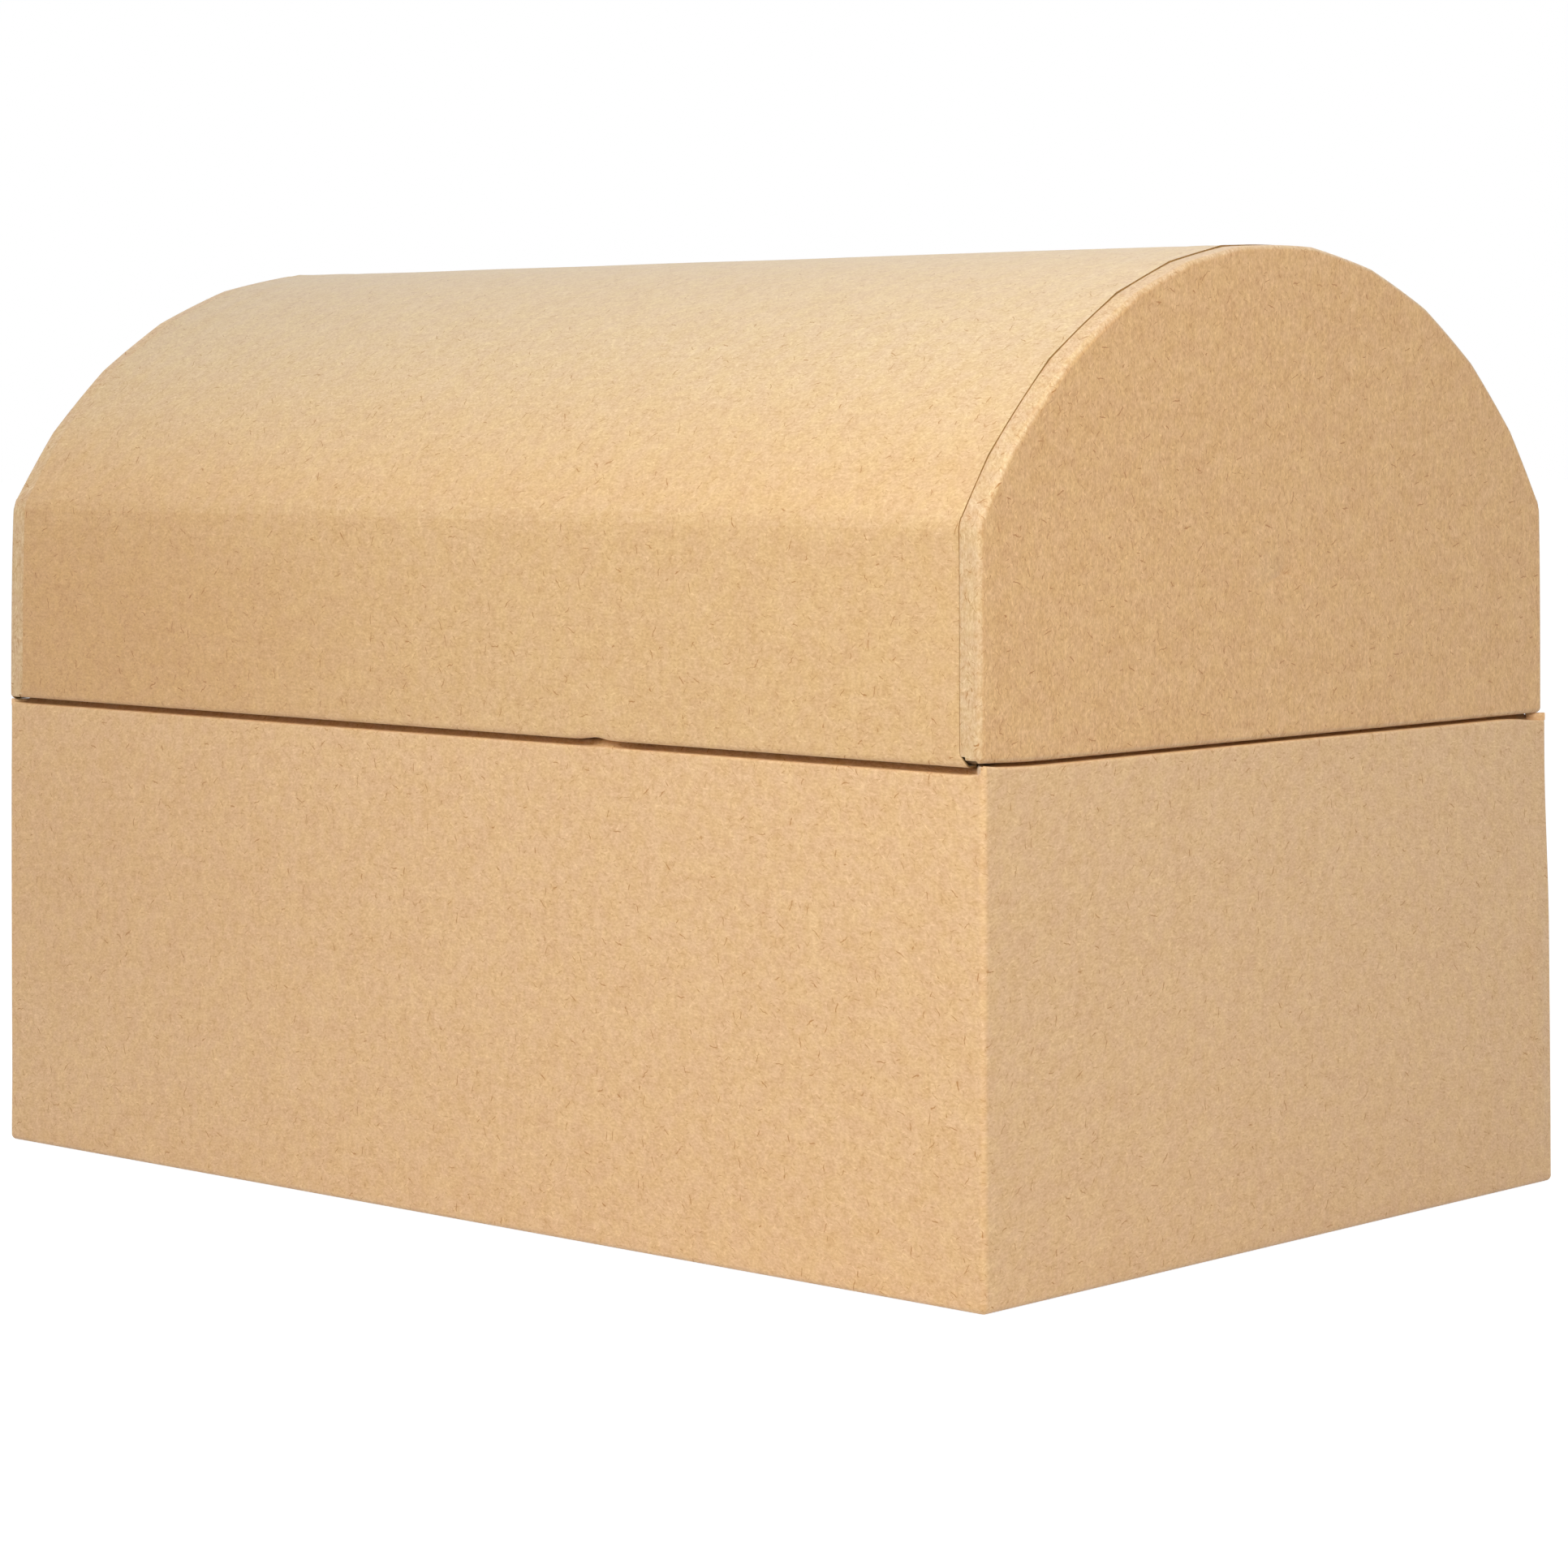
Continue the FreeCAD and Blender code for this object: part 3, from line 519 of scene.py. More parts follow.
OVERLAP_START, OVERLAP_END, OVERLAP_STEP = (69.6, 70.4), (HALF_DEPTH - 4.0, HALF_DEPTH - 1.0), 0.22
OVERLAP_FOOT, OVERLAP_TOP = (3.0, 12.0), (48.0, 62.0)
WALL_WAVE, WALL_WAVELENGTH, WALL_WAVE_FOOT, WALL_WAVE_TOP = 0.12, 60.0, (3.0, 14.0), (70.0, 82.0)
RIM_WAVE, RIM_WAVELENGTH, RIM_RISE_ZONE = 0.06, 70.0, (66.0, 82.0)
RIM_LEAN_INSETS, FOOT_LEAN_INSETS = (0.8, 2.4), (2.0, FOOT_TURN_IN)


def base_loop(inset):
    """Places (x, y) round the base, moved inwards, from the front left by way of front, right and back."""
    half_x, half_y = HALF_LENGTH - inset, HALF_DEPTH - inset
    radius = max(WRAP_ROUND - inset, SMALLEST_ROUND)
    straight_x, straight_y = half_x - radius, half_y - radius
    spots = []
    sides = (
        (0, -half_y, straight_x, 0, straight_x, -straight_y, -90),
        (half_x, 0, 0, straight_y, straight_x, straight_y, 0),
        (0, half_y, -straight_x, 0, -straight_x, straight_y, 90),
        (-half_x, 0, 0, -straight_y, -straight_x, -straight_y, 180),
    )
    for middle_x, middle_y, along_x, along_y, turn_x, turn_y, start in sides:
        for share in SIDE_STATIONS:
            spots.append((middle_x + along_x * share, middle_y + along_y * share))
        for step in range(1, CORNER_STATIONS):
            angle = math.radians(start + 90 * step / CORNER_STATIONS)
            spots.append((turn_x + radius * math.cos(angle), turn_y + radius * math.sin(angle)))
    return np.array(spots)


BASE_OUTSIDE = base_loop(0.0)
BASE_PERIMETER = lengths_along(np.vstack([BASE_OUTSIDE, BASE_OUTSIDE[:1]]))


def base_rows():
    """Inset and height of the wrap's outside from under the floor, up the wall and over the rim."""
    rows = [(inset, BASE_FOOT) for inset in UNDER_INSETS]
    rows += [
        (FOOT_ROUND * (1 - math.sin(a)), BASE_FOOT + FOOT_ROUND * (1 - math.cos(a))) for a in quarter(8)
    ]
    rows += [(0.0, height) for height in WALL_HEIGHTS]
    rim = BASE_RIM - BASE_RIM_ROUND
    rows += [(BASE_RIM_ROUND * (1 - math.cos(a)), rim + BASE_RIM_ROUND * math.sin(a)) for a in quarter(7)]
    rows += [(inset, BASE_RIM) for inset in RIM_INSETS]
    inner, top = FOLD_IN - FOLD_ROUND, BASE_RIM - FOLD_ROUND
    rows += [(inner + FOLD_ROUND * math.sin(a), top + FOLD_ROUND * math.cos(a)) for a in quarter(5)]
    rows += [(FOLD_IN, height) for height in TURNED_IN_HEIGHTS]
    return rows


def base_wrap():
    """The wrap of the base, with its overlap on the right end and a rim that is a little uneven."""
    rows = base_rows()
    x, y = BASE_OUTSIDE[:, 0], BASE_OUTSIDE[:, 1]
    to_corner = np.hypot(HALF_LENGTH - np.abs(x), HALF_DEPTH - np.abs(y))
    at_end = smooth_step(np.abs(x), *END_ZONE)
    bump = hump(x, RIM_BUMP_X, RIM_BUMP_WIDTH) * (y < 0)
    slope = -FRONT_TILT * x / HALF_LENGTH * (y < 0) * (1 - at_end)
    lip_height = LIP_HEIGHT + BUMP_LIP_RISE * bump + slope
    rise = FRONT_RIM_RISE + (END_RIM_RISE - FRONT_RIM_RISE) * at_end
    rise += CORNER_RISE * hump(to_corner, 0.0, CORNER_REACH)
    rise += END_CORNER_RISE * at_end * hump(y, -HALF_DEPTH, END_CORNER_REACH) * (x > 0)
    rise += RIM_BUMP_RISE * bump + slope
    rise += RIM_WAVE * gentle_waves(HANDWORK_SEED, x, y, RIM_WAVELENGTH)
    rise *= 1 - smooth_step(y, *BACK_ZONE)
    middle = np.array([HALF_LENGTH, HALF_DEPTH]) - WRAP_ROUND
    outward = BASE_OUTSIDE - np.clip(BASE_OUTSIDE, -middle, middle)
    outward = outward / np.linalg.norm(outward, axis=1, keepdims=True)
    lap = (x > HALF_LENGTH - WRAP_ROUND) * between(y, OVERLAP_START, OVERLAP_END)
    points, wear = [], []
    for inset, height in rows:
        on_wall = inset == 0
        wave = gentle_waves(HANDWORK_SEED + 1, BASE_PERIMETER[:-1], height, WALL_WAVELENGTH)
        bulge = WALL_WAVE * between(height, WALL_WAVE_FOOT, WALL_WAVE_TOP) * on_wall * wave
        lapped = OVERLAP_STEP * lap * between(height, OVERLAP_FOOT, OVERLAP_TOP) * on_wall
        loop = base_loop(inset) + outward * (bulge + lapped)[:, None]
        lip = smooth_step(inset + BUMP_LIP_OUT * bump, *LIP_INSETS) * smooth_step(height, *LIP_ZONE)
        level = height + rise * smooth_step(height, *RIM_RISE_ZONE)
        row = np.column_stack([loop, level + (lip_height - BASE_RIM - rise) * lip])
        outer = 1 - smooth_step(inset, *(RIM_LEAN_INSETS if height > BASE_RIM / 2 else FOOT_LEAN_INSETS))
        back = base_back_share(row[:, 2])
        row = leaned(row, base_lean(row[:, 2]) * outer, back)
        row[:, 0] += BASE_SHIFT[0] * outer
        row[:, 1] += BASE_SHIFT[1] * outer * (1 - (1 - back) * smooth_step(y, -HALF_DEPTH, HALF_DEPTH))
        points.append(row)
        wear.append(np.full(len(row), EDGE_WEAR * (0 < inset < FOOT_ROUND)))
    points = np.array(points)
    lengths = lengths_along(points)
    lengths = np.hstack([lengths, lengths[:, :1]])
    flat = np.dstack([np.broadcast_to(BASE_PERIMETER, lengths.shape), lengths])
    insets, heights = np.array(rows).T
    folded = (insets[:-1] + insets[1:] > 2 * RIM_FOLD_START) & (heights[1:] > BASE_RIM / 2)
    wrap = paper_sheet(
        "base_wrap_paper", points, flat, BASE_CENTRE, 1, (base_kraft, cut_edge, rim_fold),
        wear=np.array(wear), closed=True, third_finish=np.repeat(folded, len(x)),
    )
    # No corner of the turned-under paper dips below the foot.
    for place in wrap.data.vertices:
        place.co.z = max(place.co.z, 2 * BASE_FOOT * MM - place.co.z)
    return wrap


put(base_wrap(), "base", "kraft_cover", "base_wrap")

# The arched outline of the lid

SKIRT_SHARES = np.array([0, 0.01, 0.03, 0.07, 0.14, 0.22, 0.31, 0.4, 0.5, 0.6, 0.7, 0.8, 0.88, 0.94, 0.98])
FOOT_SHARES = np.unique(np.concatenate([np.linspace(-1, 1, 41), [-0.995, -0.98, 0.98, 0.995]]))
FILLET_STATIONS, DOME_STATIONS_PER_TAB, NEAR_STATION = 10, 8, math.radians(0.45)
EVEN_KINKS = (np.arange(1, TAB_COUNT) - TAB_COUNT / 2) * TAB_ANGLE
RIGHT_KINKS = np.radians((-51.9, -38.4, -25.7, -16.3, -7.4, 5.5, 16.5, 27.5, 38.4, 49.4))
RIGHT_SEED, LEFT_SEED = HANDWORK_SEED + 20, HANDWORK_SEED + 21
FACET_SAG, WIDEST_FACET, KINK_STAND = 0.25, 1.15, (0.05, 0.3)
EDGE_LIFT, KINK_LIFT, KINK_REACH, KINK_SPREAD = 0.03, 0.1, math.radians(1.6), (0.5, 1.2)
DOME_ZONE = (SHOULDER - 4, SHOULDER)


def dome_stations(limit):
    """Angles from the crown, front to back: the kinks of both ends and even steps between them."""
    fixed = list(RIGHT_KINKS)
    fixed += [kink for kink in EVEN_KINKS if np.abs(RIGHT_KINKS - kink).min() > NEAR_STATION]
    step = TAB_ANGLE / DOME_STATIONS_PER_TAB
    for angle in np.arange(-math.floor(limit / step), math.floor(limit / step) + 1) * step:
        if np.abs(np.array(fixed) - angle).min() > NEAR_STATION:
            fixed.append(angle)
    return np.sort(fixed)


def directions_of(angles):
    return np.column_stack([np.cos(angles), np.sin(angles)])


def arch_outline(inset, foot):
    """Places (y, z) and outward directions from the front foot, over the dome, to the back foot.

    The covers crease a little higher and sharper than the board does inside.
    """
    covers = inset < WALL_IN
    half, radius = HALF_DEPTH - inset, (COVER_RADIUS if covers else DOME_RADIUS) - inset
    axis = CROWN - inset - radius
    fillet = max((CREASE_ROUND if covers else SHOULDER_ROUND) - inset, SMALLEST_ROUND)
    centre_y = half - fillet
    centre_z = axis + math.sqrt((radius - fillet) ** 2 - centre_y**2)
    spring = math.atan2(centre_z - axis, centre_y)
    spots, facing = [], []
    for share in SKIRT_SHARES:
        spots.append((half, foot + (centre_z - foot) * share))
        facing.append(0.0)
    for angle in np.linspace(0, spring, FILLET_STATIONS):
        spots.append((centre_y + fillet * math.cos(angle), centre_z + fillet * math.sin(angle)))
        facing.append(angle)
    dome = math.pi / 2 - dome_stations(math.pi / 2 - spring - NEAR_STATION)
    back, turned = np.array(spots), np.array(facing)
    arc = np.column_stack([radius * np.cos(dome), axis + radius * np.sin(dome)])
    places = np.vstack([back * (-1, 1), arc, back[::-1]])
    angles = np.concatenate([math.pi - turned, dome, turned[::-1]])
    return places, directions_of(angles), angles


def kinks_of(side):
    """The kinks of the right end, where side is 1, or of the left end, and the seed of its handwork."""
    return (RIGHT_KINKS, RIGHT_SEED) if side > 0 else (EVEN_KINKS, LEFT_SEED)


def facets(angles, side):
    """How the paper near an end lies flat between two kinks: a little proud of each, with a dip between."""
    kinks, seed = kinks_of(side)
    edges = np.concatenate([[-ARCH_HALF_ANGLE], kinks, [ARCH_HALF_ANGLE]])
    stand = np.random.default_rng(seed).uniform(*KINK_STAND, len(edges))
    place = math.pi / 2 - angles
    cell = np.clip(np.searchsorted(edges, place) - 1, 0, len(edges) - 2)
    share = np.clip((place - edges[cell]) / (edges[cell + 1] - edges[cell]), 0, 1)
    height = stand[cell] * (1 - share) + stand[cell + 1] * share
    width = np.minimum(((edges[cell + 1] - edges[cell]) / TAB_ANGLE) ** 2, WIDEST_FACET)
    return FACET_SAG * (height - 4 * share * (1 - share) * width)


def kink_lift(angles, side):
    """How far the shell cover's edge stands off: a little everywhere, more at the kinks."""
    kinks, seed = kinks_of(side)
    draw = np.random.default_rng(seed + 2)
    lift = np.full(len(angles), EDGE_LIFT)
    for kink in kinks:
        lift += KINK_LIFT * draw.uniform(*KINK_SPREAD) * hump(math.pi / 2 - angles, kink, KINK_REACH)
    return lift


# The lid's end covers

FACE_RINGS = (0.02, 0.12, 0.3, 0.5, 0.68, 0.82, 0.91, 0.96, 0.985, 0.995)
END_MIDDLE = np.array([0.0, 112.0])
FACE_WAVE, FACE_WAVELENGTH = 0.1, 55.0
END_CORNER_ZONE = (LID_RIM, LID_RIM + 14.0)
SLIT_END = HALF_LENGTH - SLIT_STOP
FLAP_PLACES = (118.3, 117.6, 116.9, 116.2, 115.6, SLIT_END, 111.0, HALF_LENGTH - END_TURN_IN)
FLAP_PRESS, FLAP_PRESS_ZONE = 0.15, (COVER_END - 0.6, COVER_END + 0.4)
CORNER_FLAP_END, CORNER_FLAP_TURN = 116.9, 0.6
BAND_WEAR, BAND_START, HAIR = 0.95, (0.0, 0.7), 0.01


def end_loop(inset, foot_inset, side):
    """Closed outline (y, z) of an end, moved inwards, with its foot, its directions and the arch's share.

    side is 1 for the right end and -1 for the left one, with their facets, and 0 for a smooth outline.
    """
    foot = LID_RIM + foot_inset
    radius = max(RIM_ROUND - max(inset, foot_inset), SMALLEST_ROUND)
    places, directions, angles = arch_outline(inset, foot + radius)
    if side:
        flatness = facets(angles, side) * smooth_step(places[:, 1], *DOME_ZONE)
        places = places + directions * flatness[:, None]
    half = HALF_DEPTH - inset
    steps = np.arange(1, CORNER_STATIONS) / CORNER_STATIONS * math.pi / 2
    corner = np.column_stack([half - radius + radius * np.cos(steps), foot + radius - radius * np.sin(steps)])
    foot_line = np.column_stack([-FOOT_SHARES * (half - radius), np.full(len(FOOT_SHARES), foot)])
    loop = np.vstack([places, corner, foot_line, corner[::-1] * (-1, 1)])
    down = np.full(len(FOOT_SHARES), -math.pi / 2)
    return loop, directions_of(np.concatenate([angles, -steps, down, math.pi + steps[::-1]])), len(places)


def end_cover(name, side):
    """The arched end: a flat face, a rounded edge, a flap turned onto the shell and a fold under the foot."""
    flat_loop, directions, arch_count = end_loop(END_ROUND, RIM_ROUND, side)
    edge_round = END_ROUND + (RIM_ROUND - END_ROUND) * smooth_step(-directions[:, 1], 0.0, 1.0)
    rings, flats, wears = [], [], []

    def add_ring(loop, x, spread, worn):
        points = np.column_stack([np.broadcast_to(x, len(loop)), loop])
        wave = gentle_waves(HANDWORK_SEED + 3, points[:, 1], points[:, 2], FACE_WAVELENGTH)
        points[:, 0] += FACE_WAVE * wave * (spread == 0)
        low = 1 - smooth_step(points[:, 2], *END_CORNER_ZONE)
        near_front = hump(points[:, 1], -HALF_DEPTH, END_CORNER_REACH) * (side > 0)
        points[:, 2] += END_CORNER_RISE * near_front * low
        rings.append(points * (side, 1, 1))
        laid = flat_loop + directions * spread if spread else loop
        flats.append(laid[:, ::-1])
        wears.append(np.full(len(loop), worn))

    for share in FACE_RINGS:
        add_ring(END_MIDDLE + (flat_loop - END_MIDDLE) * share, HALF_LENGTH, 0, 0.0)
    for angle in quarter(8):
        loop = end_loop(END_ROUND * (1 - math.sin(angle)), RIM_ROUND * (1 - math.sin(angle)), side)[0]
        x = HALF_LENGTH - edge_round * (1 - math.cos(angle))
        add_ring(loop, x, END_ROUND * angle, BAND_WEAR * smooth_step(angle, *BAND_START))
    edge, edge_directions, _ = end_loop(0.0, 0.0, side)
    first_flap = len(rings)
    on_flap = -edge_directions[:, 1] < CORNER_FLAP_TURN
    on_arch = np.arange(len(edge)) < arch_count
    beneath = np.abs(edge[:, 0]) < HALF_DEPTH - FOLD_IN
    fold = FOLD_IN - RIM_ROUND
    for order, place in enumerate(FLAP_PLACES):
        press = FLAP_PRESS * (1 - smooth_step(place, *FLAP_PRESS_ZONE))
        loop = edge - edge_directions * (press * on_flap)[:, None]
        x = np.full(len(loop), place)
        along = (order + 1) / len(FLAP_PLACES) * (fold + RIM_TURN_IN)
        x[~on_flap] = HALF_LENGTH - RIM_ROUND - min(along, fold)
        loop[~on_flap, 1] += max(along - fold, 0.0)
        add_ring(loop, x, END_ROUND * math.pi / 2 + HALF_LENGTH - END_ROUND - place, BAND_WEAR)
    columns = len(edge)
    first_slit = math.pi / 2 - ARCH_HALF_ANGLE + TAB_ANGLE
    angles = np.arctan2(edge_directions[:, 1], edge_directions[:, 0])
    slit_side = (angles > first_slit - HAIR) & (angles < math.pi - first_slit + HAIR)
    keep = []
    for row in range(len(rings) - 1):
        place = FLAP_PLACES[max(row - first_flap + 1, 0)]
        for column in range(columns):
            pair = [column, (column + 1) % columns]
            if row < first_flap - 1:
                keep.append(True)
            elif on_arch[pair].all():
                keep.append(not (place < SLIT_END - HAIR and slit_side[pair].all()))
            elif on_flap[pair].all():
                keep.append(place >= CORNER_FLAP_END)
            else:
                keep.append(bool(beneath[pair].all()))
    points = np.array(rings)
    points = leaned(points, lid_lean(points[..., 2]), LID_BACK_SHARE)
    pole = ((side * HALF_LENGTH, *END_MIDDLE), END_MIDDLE[::-1])
    return paper_sheet(
        name, points, np.array(flats), LID_CENTRE, 1, (lid_end_kraft, cut_edge),
        wear=np.array(wears), closed=True, keep=keep, pole=pole,
    )


put(end_cover("lid_right_end_paper", 1), "lid", "kraft_cover", "lid_right_end_cover")
put(end_cover("lid_left_end_paper", -1), "lid", "kraft_cover", "lid_left_end_cover")

# The shell cover over front, dome and back

COVER_STATIONS = np.concatenate([
    np.arange(0.0, 32.0, 4.0),
    np.arange(32.0, 48.0, 1.0),
    np.arange(48.0, 96.0, 4.0),
    [96, 99, 101.5, 103.5, 105, 106, 107, 108.5, 110, 111.5, 113, 114, 114.8, 115.4, COVER_END],
])
LID_FOLD_TOP = LID_RIM + RIM_TURN_IN
COVER_FOLD_HEIGHTS = (LID_FOLD_TOP, 92.0, 88.0, 86.0)
COVER_STEP, SKIRT_STEP, COVER_STEP_ZONE, FACET_ZONE = 0.15, 0.28, (104.5, 107.0), (98.0, 113.0)
LIFTED_ZONE, EDGE_LIFT_ZONE = (LID_RIM + 0.8, LID_RIM + 2.2), (COVER_END - 1.6, COVER_END)
COVER_WAVE, COVER_WAVELENGTH = 0.1, 60.0
FOOT_SPREAD, SPREAD_HEIGHTS, SPREAD_ZONE = 1.3, (LID_RIM + 0.2, LID_RIM + 2.4), (109.0, COVER_END)
LIP_NICK_X, LIP_NICK_WIDTH, LIP_NICK_RISE, LIP_NICK_ZONE = 36.4, 2.6, 0.45, (LID_RIM + 0.4, LID_RIM + 2.5)
TILT_ZONE = (LID_RIM + 4, LID_RIM + 24)
CREASE_WEAR, CREASE_LEAN, CREASE_TOP = 0.1, 0.1, SHOULDER + 3


def cover_profile():
    """Places and directions across the cover: front fold, under the foot, over the dome, to the back fold."""
    places, _, angles = arch_outline(0.0, LID_RIM + RIM_ROUND)
    foot_y, inner = HALF_DEPTH - RIM_ROUND, HALF_DEPTH - FOLD_IN
    spots, turned = [], []

    def add_turn(centre_y, radius, turn):
        spots.append((centre_y + radius * math.cos(turn), LID_RIM + radius + radius * math.sin(turn)))
        turned.append(turn)

    for height in COVER_FOLD_HEIGHTS:
        spots.append((inner, height))
        turned.append(math.pi)
    for angle in quarter(4):
        add_turn(inner + FOLD_ROUND, FOLD_ROUND, math.pi + angle)
    spots.append(((inner + FOLD_ROUND + foot_y) / 2, LID_RIM))
    turned.append(1.5 * math.pi)
    for angle in quarter(8)[:-1]:
        add_turn(foot_y, RIM_ROUND, 1.5 * math.pi + angle)
    back, back_turn = np.array(spots), np.array(turned)
    whole = np.vstack([back * (-1, 1), places, back[::-1]])
    turns = np.concatenate([math.pi - back_turn, angles, back_turn[::-1]])
    return whole, directions_of(turns), turns, len(back)


def shell_cover():
    """The cover of the shell, which steps up over the end covers' flaps and is faceted near its ends."""
    profile, directions, turns, fold_count = cover_profile()
    stations = np.concatenate([-COVER_STATIONS[:0:-1], COVER_STATIONS])
    count, inside = len(profile), len(COVER_FOLD_HEIGHTS)
    on_arch, outer = np.zeros(count), np.zeros(count)
    on_arch[fold_count:count - fold_count] = 1.0
    outer[inside:count - inside] = 1.0
    height, in_front = profile[:, 1], (profile[:, 0] < 0) * outer
    lifted = on_arch * smooth_step(height, *LIFTED_ZONE)
    dome = on_arch * smooth_step(height, *DOME_ZONE)
    low = 1 - smooth_step(height, *SPREAD_HEIGHTS)
    nicked = (1 - smooth_step(height, *LIP_NICK_ZONE)) * in_front
    tilted = (1 - smooth_step(height, *TILT_ZONE)) * in_front
    around = lengths_along(profile)
    points = []
    for x in stations:
        away, side = abs(x), (1 if x > 0 else -1)
        raised = COVER_STEP * smooth_step(away, *COVER_STEP_ZONE)
        faceted = smooth_step(away, *FACET_ZONE)
        lift = kink_lift(turns, side) * smooth_step(away, *EDGE_LIFT_ZONE)
        offset = lifted * (raised + lift) * (SKIRT_STEP + (1 - SKIRT_STEP) * dome)
        offset = offset + dome * faceted * facets(turns, side)
        wave = gentle_waves(HANDWORK_SEED + 4, x, around, COVER_WAVELENGTH)
        offset = offset + COVER_WAVE * wave * lifted * (1 - faceted)
        spread = FOOT_SPREAD * side * low * smooth_step(away, *SPREAD_ZONE)
        column = np.column_stack([x + spread, profile + directions * offset[:, None]])
        column[:, 2] += LIP_NICK_RISE * hump(x, LIP_NICK_X, LIP_NICK_WIDTH) * nicked
        column[:, 2] -= FRONT_TILT * x / HALF_LENGTH * tilted
        points.append(leaned(column, lid_lean(column[:, 2]) * outer, LID_BACK_SHARE))
    wear = CREASE_WEAR * (np.abs(directions[:, 1]) > CREASE_LEAN) * on_arch * (height < CREASE_TOP)
    return paper_sheet(
        "lid_shell_paper", np.array(points), np.dstack(np.meshgrid(around, stations)[::-1]), LID_CENTRE, 1,
        (lid_kraft, cut_edge), wear=np.tile(wear, (len(stations), 1)),
    )


put(shell_cover(), "lid", "kraft_cover", "lid_shell_cover")

# Linings

OVER_FOLD_IN, STEP_REACH = FOLD_IN + PAPER, 0.5
LINING_SETBACK, LINING_GAP, FLOOR_TOP = 4.0, 0.05, 2.9
WALL_LINING_HEIGHTS = np.array([
    FLOOR_TOP + LINING_GAP, 4.0, 20.0, 40.0, 60.0,
    70.6, 71.0, 71.5, 72.0, 72.4, 75.0, BASE_RIM - LINING_SETBACK,
])
LINING_HALF_LENGTH, LINING_HALF_DEPTH = HALF_LENGTH - FOLD_IN - LINING_GAP, HALF_DEPTH - FOLD_IN - LINING_GAP
FLOOR_WAVE, FLOOR_WAVELENGTH, GLUED_EDGE = 0.06, 50.0, 8
UNDER_FLOOR = np.array([0.0, 0.0, -100.0])


def over_fold(height, edge):
    """0 below the edge of a turned-in paper and 1 above it, with a soft step."""
    return smooth_step(height, edge - STEP_REACH, edge + STEP_REACH)


def over_lid_fold(height):
    """How far the lid's linings step inwards over the turned-in covers."""
    return (OVER_FOLD_IN - FOLD_IN) * (1 - over_fold(height, LID_FOLD_TOP))


def base_wall_lining():
    """Lining round the inside of the base, which steps over the turned-in rim paper."""
    points = []
    for height in WALL_LINING_HEIGHTS:
        loop = base_loop(FOLD_IN + (OVER_FOLD_IN - FOLD_IN) * over_fold(height, BASE_FOLD_FOOT))
        points.append(np.column_stack([loop, np.full(len(loop), height)]))
    flat = np.dstack(np.meshgrid(BASE_PERIMETER, WALL_LINING_HEIGHTS))
    return paper_sheet(
        "base_wall_lining_paper", np.array(points), flat, BASE_CENTRE, -1, (lining, cut_edge), closed=True
    )


def base_floor_lining():
    """Lining on the floor, very slightly uneven between its glued edges."""
    x, y = np.linspace(-1, 1, 49) * LINING_HALF_LENGTH, np.linspace(-1, 1, 33) * LINING_HALF_DEPTH
    across, along = np.meshgrid(y, x)
    glued = (1 - (along / x[-1]) ** GLUED_EDGE) * (1 - (across / y[-1]) ** GLUED_EDGE)
    height = FLOOR_TOP + FLOOR_WAVE * glued * gentle_waves(HANDWORK_SEED + 7, along, across, FLOOR_WAVELENGTH)
    points, flat = np.dstack([along, across, height]), np.dstack([along, across])
    return paper_sheet("base_floor_lining_paper", points, flat, UNDER_FLOOR, 1, (lining, cut_edge))


def lid_shell_lining():
    """Lining over the whole inside of the shell, which steps over the turned-in cover at its lower edges."""
    profile, _, _ = arch_outline(FOLD_IN, LID_RIM + LINING_SETBACK)
    profile[:, 0] -= np.sign(profile[:, 0]) * over_lid_fold(profile[:, 1])
    stations = np.linspace(-1, 1, 31) * LINING_HALF_LENGTH
    points = np.array([np.column_stack([np.full(len(profile), x), profile]) for x in stations])
    flat = np.dstack(np.meshgrid(lengths_along(profile), stations)[::-1])
    return paper_sheet("lid_shell_lining_paper", points, flat, LID_CENTRE, -1, (lining, cut_edge))


def lid_end_lining(name, side):
    """Lining inside an end of the lid, which steps over the turned-in cover at its foot."""
    loop, _, _ = end_loop(FOLD_IN + LINING_GAP, LINING_SETBACK, 0)
    points = []
    for share in (*FACE_RINGS, 1.0):
        ring = END_MIDDLE + (loop - END_MIDDLE) * share
        face = HALF_LENGTH - FOLD_IN - over_lid_fold(ring[:, 1])
        points.append(np.column_stack([side * face, ring]))
    points = np.array(points)
    pole = ((side * (HALF_LENGTH - FOLD_IN), *END_MIDDLE), END_MIDDLE[::-1])
    return paper_sheet(
        name, points, points[:, :, :0:-1], LID_CENTRE, -1, (lining, cut_edge), closed=True, pole=pole
    )


put(base_wall_lining(), "base", "lining_paper", "base_wall_lining")
put(base_floor_lining(), "base", "lining_paper", "base_floor_lining")
put(lid_shell_lining(), "lid", "lining_paper", "lid_shell_lining")
put(lid_end_lining("lid_right_end_lining_paper", 1), "lid", "lining_paper", "lid_right_end_lining")
put(lid_end_lining("lid_left_end_lining_paper", -1), "lid", "lining_paper", "lid_left_end_lining")

# The paper hinge

